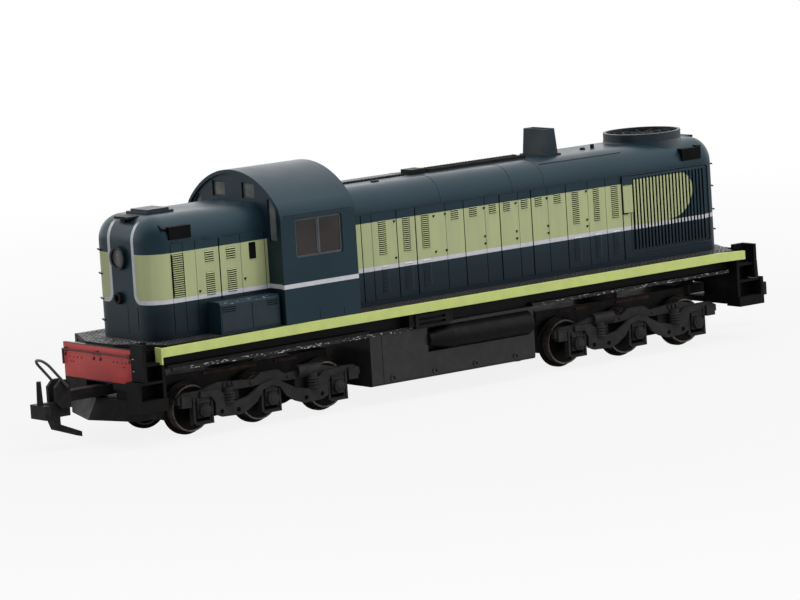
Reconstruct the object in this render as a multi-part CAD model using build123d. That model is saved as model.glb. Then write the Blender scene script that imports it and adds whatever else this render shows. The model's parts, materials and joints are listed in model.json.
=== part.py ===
from build123d import *
import os

os.makedirs("parts", exist_ok=True)

# Scale model of a road-switcher diesel, millimetres.
# +X runs to the short-hood end, +Y to the loco's left, +Z up from the flange tips.

# Wheels and trucks
tread_radius = 5.0
flange_depth = 0.8
flange_width = 0.8
tyre_width = 2.8
back_to_back = 14.3
axle_radius = 1.0
axle_clearance = 0.06
hub_radius = 1.9
hub_proud = 0.3
axle_spacing = 17.85
truck_centre_x = 51.7
housing_half_width = 5.4
housing_bottom_z = 3.4
housing_top_z = 12.8
housing_overhang = 4.2
cross_beam_width = 3.0
cross_beam_bottom_z = 6.4
cross_beam_height = 2.8
kingpin_radius = 2.2
kingpin_clearance = 0.08
kingpin_seat = 2.6
centre_plate_radius = 5.0
centre_plate_gap = 0.1

# Truck side frames, from the truck centre outwards
side_frame_y = 12.8
side_frame_thickness = 1.2
pedestal_width = 5.2
pedestal_leg = 0.8
pedestal_bottom_z = 2.7
pedestal_top_z = 9.4
pedestal_bar_height = 0.7
journal_box_width = 3.2
journal_box_bottom_z = 4.2
journal_box_top_z = 8.4
journal_box_proud = 0.3
journal_cap_radius = 1.4
journal_cap_proud = 1.3
equaliser_thickness = 0.7
spring_x = 11.2
spring_radius = 1.2
spring_bottom_z = 6.2
spring_top_z = 9.8
brake_near_x = 7.2
brake_far_x = 13.0
brake_radius = 1.35
brake_z = 10.5
bracket_inner_x = 20.9
bracket_outer_x = 23.4
bracket_bottom_z = 6.8
bracket_height = 2.5
bracket_proud = 0.5
# (distance from the truck centre, height) along one half
frame_top_profile = [(0, 11.6), (2.2, 11.6), (4.2, 10.4), (13.6, 11.1),
                     (18.3, 9.9), (22.5, 9.9), (24.2, 9.0)]
frame_low_profile = [(24.2, 7.6), (22.4, 7.6), (20.2, 8.9), (12.6, 9.0), (4.6, 8.9), (0, 9.4)]
equaliser_top_profile = [(0, 9.8), (2.5, 9.2), (6.4, 7.1), (10.1, 6.4),
                         (12.3, 6.5), (12.5, 8.5), (13.9, 9.7)]
equaliser_low_profile = [(18.6, 9.8), (18.6, 8.6), (15.8, 8.4), (14.9, 7.0), (14.9, 4.4), (13.3, 3.7),
                         (8.5, 3.5), (6.2, 4.3), (3.9, 5.7), (2.2, 8.0), (0, 8.6)]

# Underframe and deck
deck_top_z = 21.2
deck_thickness = 1.0
deck_half_width = 16.8
deck_full_x = 79.5
deck_nose_x = 85.0
deck_nose_half_width = 5.2
frame_bottom_z = 16.0
frame_setback = 3.2
frame_end_x = 80.4
lip_setback = 1.2
lip_height = 0.7
lip_far_x = 79.0
sill_thickness = 0.8
sill_height = 2.4
sill_end_x = 82.5
sill_tab_length = 2.0
sill_tab_drop = 1.4
right_sill_front_x = 79.5

# Pilots, plows and corner steps
pilot_thickness = 0.8
pilot_half_width = 12.8
pilot_bottom_z = 13.3
pilot_top_z = 20.7
casting_lip_height = 1.6
casting_bottom_z = 9.7
casting_slot_half_width = 5.0
casting_slot_top_z = 13.0
front_plow_bottom_z = 5.3
rear_plow_bottom_z = 8.4
plow_inset = 0.4
plow_nose_high = 1.9
plow_lean = 0.57
step_proud = 0.5
step_plate = 0.8
step_inner_x = 80.4
step_upper_end_x = 86.2
step_lower_end_x = 87.9
front_step_low_z = 7.6
rear_step_low_z = 8.0
step_first_z = 10.2
step_shelf_z = 14.2
step_top_z = 22.0
step_tread = 0.5
step_rise = 3.8
lever_size = 0.35
lever_z = 19.2
lever_half_length = 12.6
lever_drop = 3.2
lever_standoff = 0.3
lever_bracket = 0.9

# Tank, reservoirs and boxes under the frame
tank_front_x = 25.3
tank_rear_x = -20.6
tank_setback = 1.4
tank_bottom_z = 4.3
tank_corner_radius = 0.6
tank_recess_depth = 3.2
reservoir_front_x = 3.4
reservoir_rear_x = -19.2
reservoir_cone_length = 5.9
reservoir_tip_radius = 1.5
reservoir_radius = 2.6
reservoir_inset = 0.5
reservoir_z = 12.6
reservoir_gap = 0.1
grille_box_front_x = 13.3
grille_box_rear_x = 4.1
grille_box_depth = 3.0
grille_box_top_z = 18.6
grille_box_height = 3.1
grille_slot_count = 2
grille_slot_height = 0.6
grille_slot_depth = 0.8
grille_slot_margin = 0.9
post_length = 1.5
post_depth = 2.6

# Hoods
hood_half_width = 11.1
hood_top_z = 47.2
hood_shoulder = 5.5
hood_wall = 1.0
long_hood_rear_x = -81.0
long_hood_end_radius = 3.7
short_hood_front_x = 78.4
short_hood_end_radius = 5.2
locker_setback = 1.2
locker_front_x = 64.4
locker_top_z = 28.0
locker_edge_radius = 0.8
locker_cab_gap = 0.5
shutter_front_x = -54.9
shutter_rear_x = -76.9
shutter_bottom_z = 24.2
shutter_height = 16.8
shutter_back = 0.15
slat_depth = 0.4
slat_count = 22
slat_fill = 0.5
shutter_ledge = 0.6
latch_box_length = 3.1
latch_box_height = 1.8
fan_x = -68.4
fan_radius = 8.9
fan_wall = 0.7
fan_skirt_z = 44.9
fan_top_z = 49.4
fan_hub_radius = 1.8
fan_blade_width = 2.2
fan_blade_thickness = 0.5
fan_blade_count = 8
fan_tip_gap = 0.4
fan_drop = 1.0
stack_x = -38.0
stack_foot_length = 4.8
stack_foot_width = 8.8
stack_foot_height = 0.4
stack_low_length = 3.8
stack_low_width = 7.8
stack_high_length = 2.9
stack_high_width = 7.4
stack_height = 6.1
stack_wall = 0.5
stack_bore_depth = 3.0
walk_front_x = -4.0
walk_rear_x = -32.0
walk_inner_y = 0.5
walk_outer_y = 2.1
walk_height = 0.5
roof_box_front_x = 0.6
roof_box_rear_x = -3.2
roof_box_half_width = 1.9
roof_box_height = 1.1
hatch_front_x = 73.4
hatch_rear_x = 66.4
hatch_half_width = 3.8
hatch_step = 0.5
hatch_border = 0.7
hatch_height = 0.45
visor_length = 4.4
visor_half_width = 2.6
visor_thickness = 0.5
visor_top_z = 47.1
front_visor_tip_x = 77.4
rear_visor_tip_x = -81.6
number_board_length = 5.6
number_board_height = 2.7
number_board_depth = 0.4
front_board_x = 70.5
front_board_z = 43.6
rear_board_x = -73.2
rear_board_z = 44.0
lamp_z = 38.5
lamp_radius = 2.0
lamp_proud = 0.5
bezel_wall = 0.6
bezel_proud = 0.9

# Cab
cab_front_x = 48.3
cab_rear_x = 28.3
cab_overhang = 0.2
cab_eaves_z = 45.4
cab_apex_z = 53.8
cab_shoulder = 5.0
cab_seam_z = 44.4
cab_wall = 0.8
cab_end_recess = 0.5
cab_window_front_x = 44.5
cab_window_rear_x = 32.0
cab_window_bottom_z = 35.1
cab_window_top_z = 43.4
cab_window_radius = 0.4
end_window_inner_y = 3.1
end_window_outer_y = 7.6
end_window_height = 3.4
window_head_margin = 0.4
door_window_setback = 2.2
door_window_width = 2.8
door_window_bottom_z = 39.0
door_window_slope_width = 1.6
door_window_slope_height = 2.0
sash_width = 0.4
sash_thickness = 0.4
glass_thickness = 0.3

# Motor and ballast inside the hood
motor_front_x = 22.0
motor_rear_x = -30.0
motor_half_width = 8.5
motor_height = 17.0

# Couplers
coupler_pivot_x = 78.0
coupler_pivot_radius = 1.1
coupler_pivot_clearance = 0.08
coupler_bottom_z = 10.2
coupler_height = 2.2
coupler_gap = 0.3
coupler_pad_half = 1.9
coupler_keeper_height = 0.6
shank_half_width = 1.4
shank_end_x = 95.8
cheek_end_x = 98.2
cheek_inner_y = 1.0
cheek_thickness = 0.8
cheek_bottom_z = 9.0
cheek_top_z = 15.0
cheek_web_top_z = 12.6
head_front_x = 101.8
head_thickness = 1.4
head_half_width = 2.8
head_bottom_z = 7.2
head_height = 3.0
head_bar_half_width = 1.1
horn_height = 5.0
horn_low_radius = 0.7
horn_high_radius = 0.5
tail_x = 97.0
tail_foot_x = 91.8
tail_knee_z = 5.6
tail_foot_z = 3.4
tail_thickness = 1.1
tail_half_width = 1.1
loop_pivot_x = 95.4
loop_pivot_z = 13.6
loop_reach_x = 5.2
loop_reach_z = 6.0
loop_half_width = 2.2
loop_corner_radius = 1.9
loop_wire_radius = 0.3
loop_clearance = 0.08

# Levels and places that follow from the sizes above
axle_z = tread_radius + flange_depth
flange_radius = tread_radius + flange_depth
wheel_inner_y = back_to_back / 2
wheel_outer_y = wheel_inner_y + tyre_width
deck_bottom_z = deck_top_z - deck_thickness
sill_outer_y = deck_half_width + sill_thickness
frame_half_width = deck_half_width - frame_setback
lip_half_width = deck_half_width - lip_setback
tank_half_width = deck_half_width - tank_setback
plow_half_width = pilot_half_width - plow_inset
locker_half_width = deck_half_width - locker_setback
cab_half_width = deck_half_width + cab_overhang
step_outer_y = deck_half_width + step_proud
reservoir_y = tank_half_width - reservoir_inset
grille_box_outer_y = frame_half_width + grille_box_depth
post_outer_y = frame_half_width + post_depth
pilot_front_x = deck_nose_x + pilot_thickness
coupler_top_z = coupler_bottom_z + coupler_height
hood_foot_front = cab_front_x - cab_end_recess
hood_foot_rear = cab_rear_x + cab_end_recess
shutter_top_z = shutter_bottom_z + shutter_height


def block(x0, x1, y0, y1, z0, z1):
    """Box between two corners."""
    size = (abs(x1 - x0), abs(y1 - y0), abs(z1 - z0))
    return Pos((x0 + x1) / 2, (y0 + y1) / 2, (z0 + z1) / 2) * Box(*size)


def along_x(sketch, x0, x1):
    """Extrude a sketch drawn in (Y, Z) from x0 to x1."""
    return Pos(min(x0, x1), 0, 0) * extrude(Plane.YZ * sketch, abs(x1 - x0))


def rod_y(x, z, radius, y0, y1):
    """Round bar along Y."""
    return Pos(x, (y0 + y1) / 2, z) * Rot(90, 0, 0) * Cylinder(radius, abs(y1 - y0))


def rod_x(y, z, radius, x0, x1):
    """Round bar along X."""
    return Pos((x0 + x1) / 2, y, z) * Rot(0, 90, 0) * Cylinder(radius, abs(x1 - x0))


def rod_z(x, y, radius, z0, z1):
    """Round bar along Z."""
    return Pos(x, y, (z0 + z1) / 2) * Cylinder(radius, z1 - z0)


def plate_y(points, y0, y1):
    """Extrude an outline of (X, Z) points from y0 to y1."""
    outline = make_face(Polyline(*points, close=True))
    return Pos(0, max(y0, y1), 0) * extrude(Plane.XZ * outline, abs(y1 - y0))


def at_end(shape, end):
    """Turn a front piece end for end when end is -1."""
    return shape if end > 0 else Rot(0, 0, 180) * shape


def save(name, *solids):
    """Write one node to its STEP file."""
    kept = [one for shape in solids for one in shape.solids()]
    export_step(kept[0] if len(kept) == 1 else Compound(children=kept), f"parts/{name}.step")


# ---- Wheelsets -------------------------------------------------------------
def wheelset(x):
    """Axle with two flanged wheels, flanges on the inside."""
    shape = rod_y(x, axle_z, axle_radius, -wheel_outer_y, wheel_outer_y)
    for side in (-1, 1):
        inner = side * wheel_inner_y
        shape += rod_y(x, axle_z, flange_radius, inner, inner + side * flange_width)
        shape += rod_y(x, axle_z, tread_radius, inner, side * wheel_outer_y)
        shape += rod_y(x, axle_z, hub_radius, side * wheel_outer_y, side * (wheel_outer_y + hub_proud))
    return shape


# ---- Trucks ----------------------------------------------------------------
def truck_axles(end):
    """Axle places of one truck, outer axle first."""
    return [end * (truck_centre_x + step * axle_spacing) for step in (1, 0, -1)]


def truck_housing(end):
    """Gear housing with the cross beams, centre plate and kingpin."""
    centre = end * truck_centre_x
    reach = axle_spacing + housing_overhang
    shape = block(centre - reach, centre + reach, -housing_half_width, housing_half_width,
                  housing_bottom_z, housing_top_z)
    for half in (-0.5, 0.5):
        beam_x = centre + half * axle_spacing
        shape += block(beam_x - cross_beam_width / 2, beam_x + cross_beam_width / 2,
                       -side_frame_y, side_frame_y,
                       cross_beam_bottom_z, cross_beam_bottom_z + cross_beam_height)
    shape += rod_z(centre, 0, centre_plate_radius, housing_top_z, frame_bottom_z - centre_plate_gap)
    shape += rod_z(centre, 0, kingpin_radius, housing_top_z, frame_bottom_z + kingpin_seat)
    for x in truck_axles(end):
        bore = axle_radius + axle_clearance
        shape -= rod_y(x, axle_z, bore, -housing_half_width, housing_half_width)
    return shape


def both_halves(centre, top, low):
    """Closed outline from the upper and lower edges of one half, the same on both sides of centre."""
    half = top + low
    mirrored = [(centre - dx, z) for dx, z in reversed(half[1:-1])]
    return [(centre + dx, z) for dx, z in half] + mirrored


def side_frame(end, side):
    """Cast side frame with its pedestals, journals, curved equaliser, springs and brake cylinder."""
    inner, skin = side * side_frame_y, side * (side_frame_y + side_frame_thickness)
    face = skin + side * equaliser_thickness
    centre = end * truck_centre_x
    shape = plate_y(both_halves(centre, frame_top_profile, frame_low_profile), inner, skin)
    for x in truck_axles(end):
        for leg in (-1, 1):
            edge = x + leg * pedestal_width / 2
            shape += block(edge, edge - leg * pedestal_leg, inner, skin, pedestal_bottom_z, pedestal_top_z)
        shape += block(x - pedestal_width / 2, x + pedestal_width / 2, inner, skin,
                       pedestal_bottom_z, pedestal_bottom_z + pedestal_bar_height)
        shape += block(x - journal_box_width / 2, x + journal_box_width / 2, inner,
                       skin + side * journal_box_proud, journal_box_bottom_z, journal_box_top_z)
        shape += block(x - pedestal_width / 2, x + pedestal_width / 2, inner, skin,
                       journal_box_top_z - pedestal_leg, pedestal_top_z)
        shape += rod_y(x, axle_z, journal_cap_radius, skin, skin + side * journal_cap_proud)
    shape += plate_y(both_halves(centre, equaliser_top_profile, equaliser_low_profile), skin, face)
    for half in (-1, 1):
        shape += rod_z(centre + half * spring_x, face - side * spring_radius / 2, spring_radius,
                       spring_bottom_z, spring_top_z)
        near, far = centre + half * bracket_inner_x, centre + half * bracket_outer_x
        shape += block(near, far, inner, skin + side * bracket_proud,
                       bracket_bottom_z, bracket_bottom_z + bracket_height)
    shape += rod_x(skin, brake_z, brake_radius, centre - end * brake_near_x, centre - end * brake_far_x)
    return shape


for end, name in ((1, "front"), (-1, "rear")):
    save(f"truck_{name}_housing", truck_housing(end))
    for side, side_name in ((1, "left"), (-1, "right")):
        save(f"truck_{name}_side_frame_{side_name}", side_frame(end, side))
    for number, x in enumerate(truck_axles(end), start=1):
        save(f"truck_{name}_wheelset_{number}", wheelset(x))

# ---- Underframe and deck ---------------------------------------------------
frame = block(-frame_end_x, frame_end_x, -frame_half_width, frame_half_width, frame_bottom_z, deck_bottom_z)
for near_x, far_x in ((tank_front_x, lip_far_x), (tank_rear_x, -lip_far_x)):
    frame += block(near_x, far_x, -lip_half_width, lip_half_width,
                   frame_bottom_z, frame_bottom_z + lip_height)
for end in (1, -1):
    bore = kingpin_radius + kingpin_clearance
    frame -= rod_z(end * truck_centre_x, 0, bore, frame_bottom_z, deck_bottom_z)
save("frame", frame)


def coupler_mount():
    """Pad, pivot pin and keeper below the frame end."""
    pad_z = coupler_top_z + coupler_gap
    keeper_z = coupler_bottom_z - coupler_gap
    near, far = coupler_pivot_x - coupler_pad_half, coupler_pivot_x + coupler_pad_half
    shape = block(near, far, -coupler_pad_half, coupler_pad_half, pad_z, frame_bottom_z)
    shape += rod_z(coupler_pivot_x, 0, coupler_pivot_radius, keeper_z, pad_z)
    return shape + rod_z(coupler_pivot_x, 0, coupler_pad_half, keeper_z - coupler_keeper_height, keeper_z)


deck_corners = [
    (deck_full_x, deck_half_width),
    (deck_nose_x, deck_nose_half_width),
    (deck_nose_x, -deck_nose_half_width),
    (deck_full_x, -deck_half_width),
]
deck_outline = deck_corners + [(-x, -y) for x, y in deck_corners]
deck = extrude(make_face(Polyline(*deck_outline, close=True)), deck_thickness)
save("deck", Pos(0, 0, deck_bottom_z) * deck)


def sill(side, front_x):
    """Coloured strip along one edge of the deck."""
    return block(-sill_end_x, front_x, side * deck_half_width, side * sill_outer_y,
                 deck_top_z - sill_height, deck_top_z)


# The right sill stops short, where the corner step is missing
tab = block(sill_end_x - sill_tab_length, sill_end_x, deck_half_width, sill_outer_y,
            deck_top_z - sill_height - sill_tab_drop, deck_top_z)
save("sill_left", sill(1, sill_end_x) + tab)
save("sill_right", sill(-1, right_sill_front_x))


# ---- Ends: pilot plate, casting, plow and steps ---------------------------
def pilot_plate():
    """Painted plate across the end."""
    return block(deck_nose_x, pilot_front_x, -pilot_half_width, pilot_half_width,
                 pilot_bottom_z, pilot_top_z)


def pilot_casting():
    """Dark casting behind and below the plate, open for the coupler."""
    shape = block(frame_end_x, deck_nose_x, -pilot_half_width, pilot_half_width,
                  casting_bottom_z, deck_bottom_z)
    shape += block(deck_nose_x, pilot_front_x, -pilot_half_width, pilot_half_width,
                   pilot_bottom_z - casting_lip_height, pilot_bottom_z)
    shape -= block(frame_end_x, pilot_front_x, -casting_slot_half_width, casting_slot_half_width,
                   casting_bottom_z, casting_slot_top_z)
    return shape


def plow(bottom_z):
    """V-shaped apron below the pilot, leaning forward at its foot."""
    plow_nose_low = plow_nose_high + plow_lean * (casting_bottom_z - bottom_z)

    def section(nose, z):
        points = [(frame_end_x, plow_half_width), (deck_nose_x, plow_half_width), (deck_nose_x + nose, 0),
                  (deck_nose_x, -plow_half_width), (frame_end_x, -plow_half_width)]
        return Pos(0, 0, z) * make_face(Polyline(*points, close=True))

    return loft([section(plow_nose_low, bottom_z), section(plow_nose_high, casting_bottom_z)])


def steps(side, low_z):
    """Step well in one corner: cheeks, treads, back wall and toe plate."""
    back, outer = side * pilot_half_width, side * step_outer_y
    under_sill = side * deck_half_width
    inner_x = step_inner_x
    shape = block(inner_x, inner_x + step_plate, back, under_sill, low_z, deck_bottom_z)
    shape += block(step_upper_end_x - step_plate, step_upper_end_x, back, outer, step_shelf_z, step_top_z)
    shape += block(step_lower_end_x - step_plate, step_lower_end_x, back, outer, low_z, step_shelf_z)
    shape += block(inner_x, step_lower_end_x, back, back + side * step_plate, low_z, step_shelf_z)
    shape += block(inner_x, step_upper_end_x, back, back + side * step_plate, step_shelf_z, deck_bottom_z)
    shape += block(sill_end_x, step_upper_end_x, back, back + side * step_plate, deck_bottom_z, step_top_z)
    shape += block(inner_x, step_lower_end_x, outer, outer - side * step_plate, low_z, step_first_z)
    for number in range(3):
        top = step_first_z + number * step_rise
        far = step_upper_end_x if top > step_shelf_z + step_tread else step_lower_end_x
        shape += block(inner_x, far, back, under_sill, top - step_tread, top)
    return shape


def uncoupling_lever():
    """Bar across the pilot plate with its handle turned down at the right-hand end."""
    near_x = pilot_front_x + lever_standoff
    far_x = near_x + lever_size
    half = lever_size / 2
    bar = block(near_x, far_x, -lever_half_length, lever_half_length, lever_z - half, lever_z + half)
    bar += block(near_x, far_x, -lever_half_length, -lever_half_length + lever_size,
                 lever_z - lever_drop, lever_z)
    bracket_y = lever_half_length - lever_bracket
    for y in (-bracket_y, 0, bracket_y):
        bar += block(pilot_front_x, near_x, y - lever_bracket / 2, y + lever_bracket / 2,
                     lever_z - lever_bracket / 2, lever_z + lever_bracket / 2)
    return bar


for end, name, plow_z in ((1, "front", front_plow_bottom_z), (-1, "rear", rear_plow_bottom_z)):
    save(f"coupler_mount_{name}", at_end(coupler_mount(), end))
    save(f"pilot_plate_{name}", at_end(pilot_plate(), end))
    save(f"pilot_casting_{name}", at_end(pilot_casting(), end))
    save(f"plow_{name}", at_end(plow(plow_z), end))
    save(f"uncoupling_lever_{name}", at_end(uncoupling_lever(), end))
save("steps_front", steps(1, front_step_low_z))
save("steps_rear", at_end(steps(1, rear_step_low_z), -1), at_end(steps(-1, rear_step_low_z), -1))

# ---- Tank, reservoirs and grille boxes ------------------------------------
tank_section = Pos(0, (tank_bottom_z + frame_bottom_z) / 2) * Rectangle(
    2 * tank_half_width, frame_bottom_z - tank_bottom_z)
tank_section = fillet(tank_section.vertices().group_by(Axis.Y)[0], tank_corner_radius)
tank = along_x(tank_section, tank_rear_x, tank_front_x)
reservoirs = []
grilles = []
for side in (1, -1):
    recess_y = side * (tank_half_width - tank_recess_depth)
    recess_top = reservoir_z + reservoir_radius + reservoir_gap
    recess_low = reservoir_z - reservoir_radius - reservoir_gap
    cone_tip_x = reservoir_front_x + reservoir_cone_length
    tank -= block(reservoir_rear_x - reservoir_gap, cone_tip_x + reservoir_gap,
                  recess_y, side * tank_half_width, recess_low, recess_top)
    body = rod_x(side * reservoir_y, reservoir_z, reservoir_radius, reservoir_rear_x, reservoir_front_x)
    nose = Cone(reservoir_radius, reservoir_tip_radius, reservoir_cone_length)
    body += Pos((reservoir_front_x + cone_tip_x) / 2, side * reservoir_y, reservoir_z) * Rot(0, 90, 0) * nose
    reservoirs.append(body)
    boxes = block(grille_box_rear_x, grille_box_front_x, side * frame_half_width, side * grille_box_outer_y,
                  grille_box_top_z - grille_box_height, grille_box_top_z)
    boxes -= block(grille_box_rear_x, grille_box_front_x, side * frame_half_width, side * tank_half_width,
                   grille_box_top_z - grille_box_height, frame_bottom_z)
    slot_pitch = grille_box_height / (grille_slot_count + 1)
    for number in range(grille_slot_count):
        slot_z = grille_box_top_z - (number + 1) * slot_pitch
        boxes -= block(grille_box_rear_x + grille_slot_margin, grille_box_front_x - grille_slot_margin,
                       side * (grille_box_outer_y - grille_slot_depth), side * grille_box_outer_y,
                       slot_z - grille_slot_height / 2, slot_z + grille_slot_height / 2)
    for x in (grille_box_front_x + post_length / 2, grille_box_rear_x - post_length / 2):
        boxes += block(x - post_length / 2, x + post_length / 2, side * frame_half_width,
                       side * post_outer_y, frame_bottom_z, deck_bottom_z)
    grilles.append(boxes)
save("fuel_tank", tank)
save("air_reservoirs", *reservoirs)
save("grille_boxes", *grilles)


# ---- Hoods -----------------------------------------------------------------
def hood_section(inset):
    """Flat sides and rounded shoulders, drawn in (Y, Z)."""
    height = hood_top_z - inset - deck_top_z
    section = Pos(0, deck_top_z + height / 2) * Rectangle(2 * (hood_half_width - inset), height)
    return fillet(section.vertices().group_by(Axis.Y)[-1], hood_shoulder - inset)


def hood_body(near_x, far_x, end_radius, inset):
    """Hood outline from the cab to its rounded far end."""
    far_x = far_x - inset if far_x > near_x else far_x + inset
    shape = along_x(hood_section(inset), near_x, far_x)
    face = shape.faces().sort_by(Axis.X)[-1 if far_x > near_x else 0]
    half_height = (hood_top_z - deck_top_z) / 2
    rim = [edge for edge in face.edges() if edge.center().Z > deck_top_z + half_height / 2]
    return fillet(rim, end_radius - inset)


def bezel(end_x, end):
    """Ring round the headlight."""
    ring = rod_x(0, lamp_z, lamp_radius + bezel_wall, end_x, end_x + end * bezel_proud)
    return ring - rod_x(0, lamp_z, lamp_radius, end_x, end_x + end * bezel_proud)


long_outer = hood_body(hood_foot_rear, long_hood_rear_x, long_hood_end_radius, 0)
short_outer = hood_body(hood_foot_front, short_hood_front_x, short_hood_end_radius, 0)
long_hood = long_outer - hood_body(hood_foot_rear, long_hood_rear_x, long_hood_end_radius, hood_wall)
short_hood = short_outer - hood_body(hood_foot_front, short_hood_front_x, short_hood_end_radius, hood_wall)
save("long_hood", long_hood + bezel(long_hood_rear_x, -1))
save("short_hood", short_hood + bezel(short_hood_front_x, 1))

for side, side_name in ((1, "left"), (-1, "right")):
    face_y = side * hood_half_width
    locker = block(cab_front_x + locker_cab_gap, locker_front_x, face_y, side * locker_half_width,
                   deck_top_z, locker_top_z)
    far_edges = locker.edges().filter_by(Axis.X).sort_by(Axis.Z)[-2:]
    outer_edge = far_edges.sort_by(Axis.Y)[-1 if side > 0 else 0]
    save(f"locker_{side_name}", fillet(outer_edge, locker_edge_radius))

    shutter = block(shutter_rear_x, shutter_front_x, face_y, face_y + side * shutter_back,
                    shutter_bottom_z, shutter_top_z)
    pitch = (shutter_front_x - shutter_rear_x) / slat_count
    front_y = face_y + side * (shutter_back + slat_depth)
    for number in range(slat_count):
        x = shutter_rear_x + (number + 0.5) * pitch
        shutter += block(x - pitch * slat_fill / 2, x + pitch * slat_fill / 2,
                         face_y, front_y, shutter_bottom_z, shutter_top_z - shutter_ledge)
    shutter += block(shutter_rear_x, shutter_front_x, face_y, front_y,
                     shutter_top_z - shutter_ledge, shutter_top_z)
    shutter += block(shutter_front_x, shutter_front_x + latch_box_length, face_y, front_y,
                     shutter_top_z - latch_box_height, shutter_top_z)
    save(f"radiator_shutter_{side_name}", shutter)

# ---- Roof of the long hood -------------------------------------------------
shroud = rod_z(fan_x, 0, fan_radius, fan_skirt_z, fan_top_z)
shroud -= rod_z(fan_x, 0, fan_radius - fan_wall, fan_skirt_z, fan_top_z)
save("fan_shroud", shroud - long_outer)

fan_blade_z = fan_top_z - fan_drop
fan = rod_z(fan_x, 0, fan_hub_radius, hood_top_z, fan_blade_z)
for number in range(fan_blade_count // 2):
    blade = Box(2 * (fan_radius - fan_wall - fan_tip_gap), fan_blade_width, fan_blade_thickness)
    spin = Rot(0, 0, 360 * number / fan_blade_count)
    fan += Pos(fan_x, 0, fan_blade_z - fan_blade_thickness / 2) * spin * blade
save("radiator_fan", fan)

stack_foot_top = hood_top_z + stack_foot_height
stack_top_z = hood_top_z + stack_height
stack = block(stack_x - stack_foot_length / 2, stack_x + stack_foot_length / 2,
              -stack_foot_width / 2, stack_foot_width / 2, hood_top_z, stack_foot_top)
stack += loft([
    Pos(stack_x, 0, stack_foot_top) * Rectangle(stack_low_length, stack_low_width),
    Pos(stack_x, 0, stack_top_z) * Rectangle(stack_high_length, stack_high_width),
])
stack_bore_half = stack_high_length / 2 - stack_wall
stack -= block(stack_x - stack_bore_half, stack_x + stack_bore_half,
               -stack_high_width / 2 + stack_wall, stack_high_width / 2 - stack_wall,
               stack_top_z - stack_bore_depth, stack_top_z)
save("exhaust_stack", stack)

save("roof_walk", *[block(walk_rear_x, walk_front_x, side * walk_inner_y, side * walk_outer_y,
                          hood_top_z, hood_top_z + walk_height) for side in (1, -1)])
save("roof_box", block(roof_box_rear_x, roof_box_front_x, -roof_box_half_width, roof_box_half_width,
                       hood_top_z, hood_top_z + roof_box_height))

hatch_mid_z = hood_top_z + hatch_step
hatch = block(hatch_rear_x, hatch_front_x, -hatch_half_width, hatch_half_width, hood_top_z - hatch_step,
              hatch_mid_z)
hatch += block(hatch_rear_x + hatch_border, hatch_front_x - hatch_border, -hatch_half_width + hatch_border,
               hatch_half_width - hatch_border, hatch_mid_z, hatch_mid_z + hatch_height)
save("short_hood_hatch", hatch - short_outer)


def visor(tip_x, end, hood):
    """Flat shade over the headlight, carried by the curved top of the hood end."""
    plate = block(tip_x, tip_x - end * visor_length, -visor_half_width, visor_half_width,
                  visor_top_z - visor_thickness, visor_top_z)
    stem = block(tip_x - end * visor_thickness, tip_x - end * visor_length, -visor_thickness,
                 visor_thickness, visor_top_z - visor_length, visor_top_z - visor_thickness)
    return plate + stem - hood


save("headlight_visors", visor(front_visor_tip_x, 1, short_outer), visor(rear_visor_tip_x, -1, long_outer))

# ---- Number boards and headlights -----------------------------------------
for name, board_x, board_z in (("front", front_board_x, front_board_z),
                               ("rear", rear_board_x, rear_board_z)):
    boards = []
    for side in (1, -1):
        outer_y = side * (hood_half_width + number_board_depth)
        board = block(board_x - number_board_length / 2, board_x + number_board_length / 2,
                      side * (hood_half_width - hood_shoulder), outer_y,
                      board_z - number_board_height / 2, board_z + number_board_height / 2)
        boards.append(board - long_outer - short_outer)
    save(f"number_boards_{name}", *boards)

for name, end_x, end in (("front", short_hood_front_x, 1), ("rear", long_hood_rear_x, -1)):
    save(f"headlight_{name}", rod_x(0, lamp_z, lamp_radius, end_x, end_x + end * lamp_proud))


# ---- Cab -------------------------------------------------------------------
def cab_section(inset):
    """Upright sides rounded into an arched roof, drawn in (Y, Z)."""
    half = cab_half_width - inset
    eaves = cab_eaves_z
    apex = cab_apex_z - inset
    edges = Curve() + [
        Polyline((-half, eaves), (-half, deck_top_z), (half, deck_top_z), (half, eaves)),
        ThreePointArc((half, eaves), (0, apex), (-half, eaves)),
    ]
    section = make_face(edges)
    return fillet(section.vertices().group_by(Axis.Y)[-1], cab_shoulder - inset)


def window_head(y):
    """Height that a window may reach under the roof arch, y from the middle."""
    half = cab_half_width - cab_wall
    rise = cab_apex_z - cab_wall - cab_eaves_z
    arch_radius = (half ** 2 + rise ** 2) / (2 * rise)
    return cab_apex_z - cab_wall - arch_radius + (arch_radius ** 2 - y ** 2) ** 0.5 - window_head_margin


def rounded_window(x0, x1, z0, z1, y0, y1, radius):
    """Window opening with rounded corners, cut along Y."""
    pane = Pos((x0 + x1) / 2, (z0 + z1) / 2) * RectangleRounded(x1 - x0, z1 - z0, radius)
    return Pos(0, max(y0, y1), 0) * extrude(Plane.XZ * pane, abs(y1 - y0))


cab_outer = along_x(cab_section(0), cab_rear_x, cab_front_x)
cab_inner = along_x(cab_section(cab_wall), cab_rear_x, cab_front_x)
above_seam = block(cab_rear_x, cab_front_x, -cab_half_width, cab_half_width, cab_seam_z, cab_apex_z)
cab_roof = (cab_outer - cab_inner) & above_seam
save("cab_roof", cab_roof)

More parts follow.
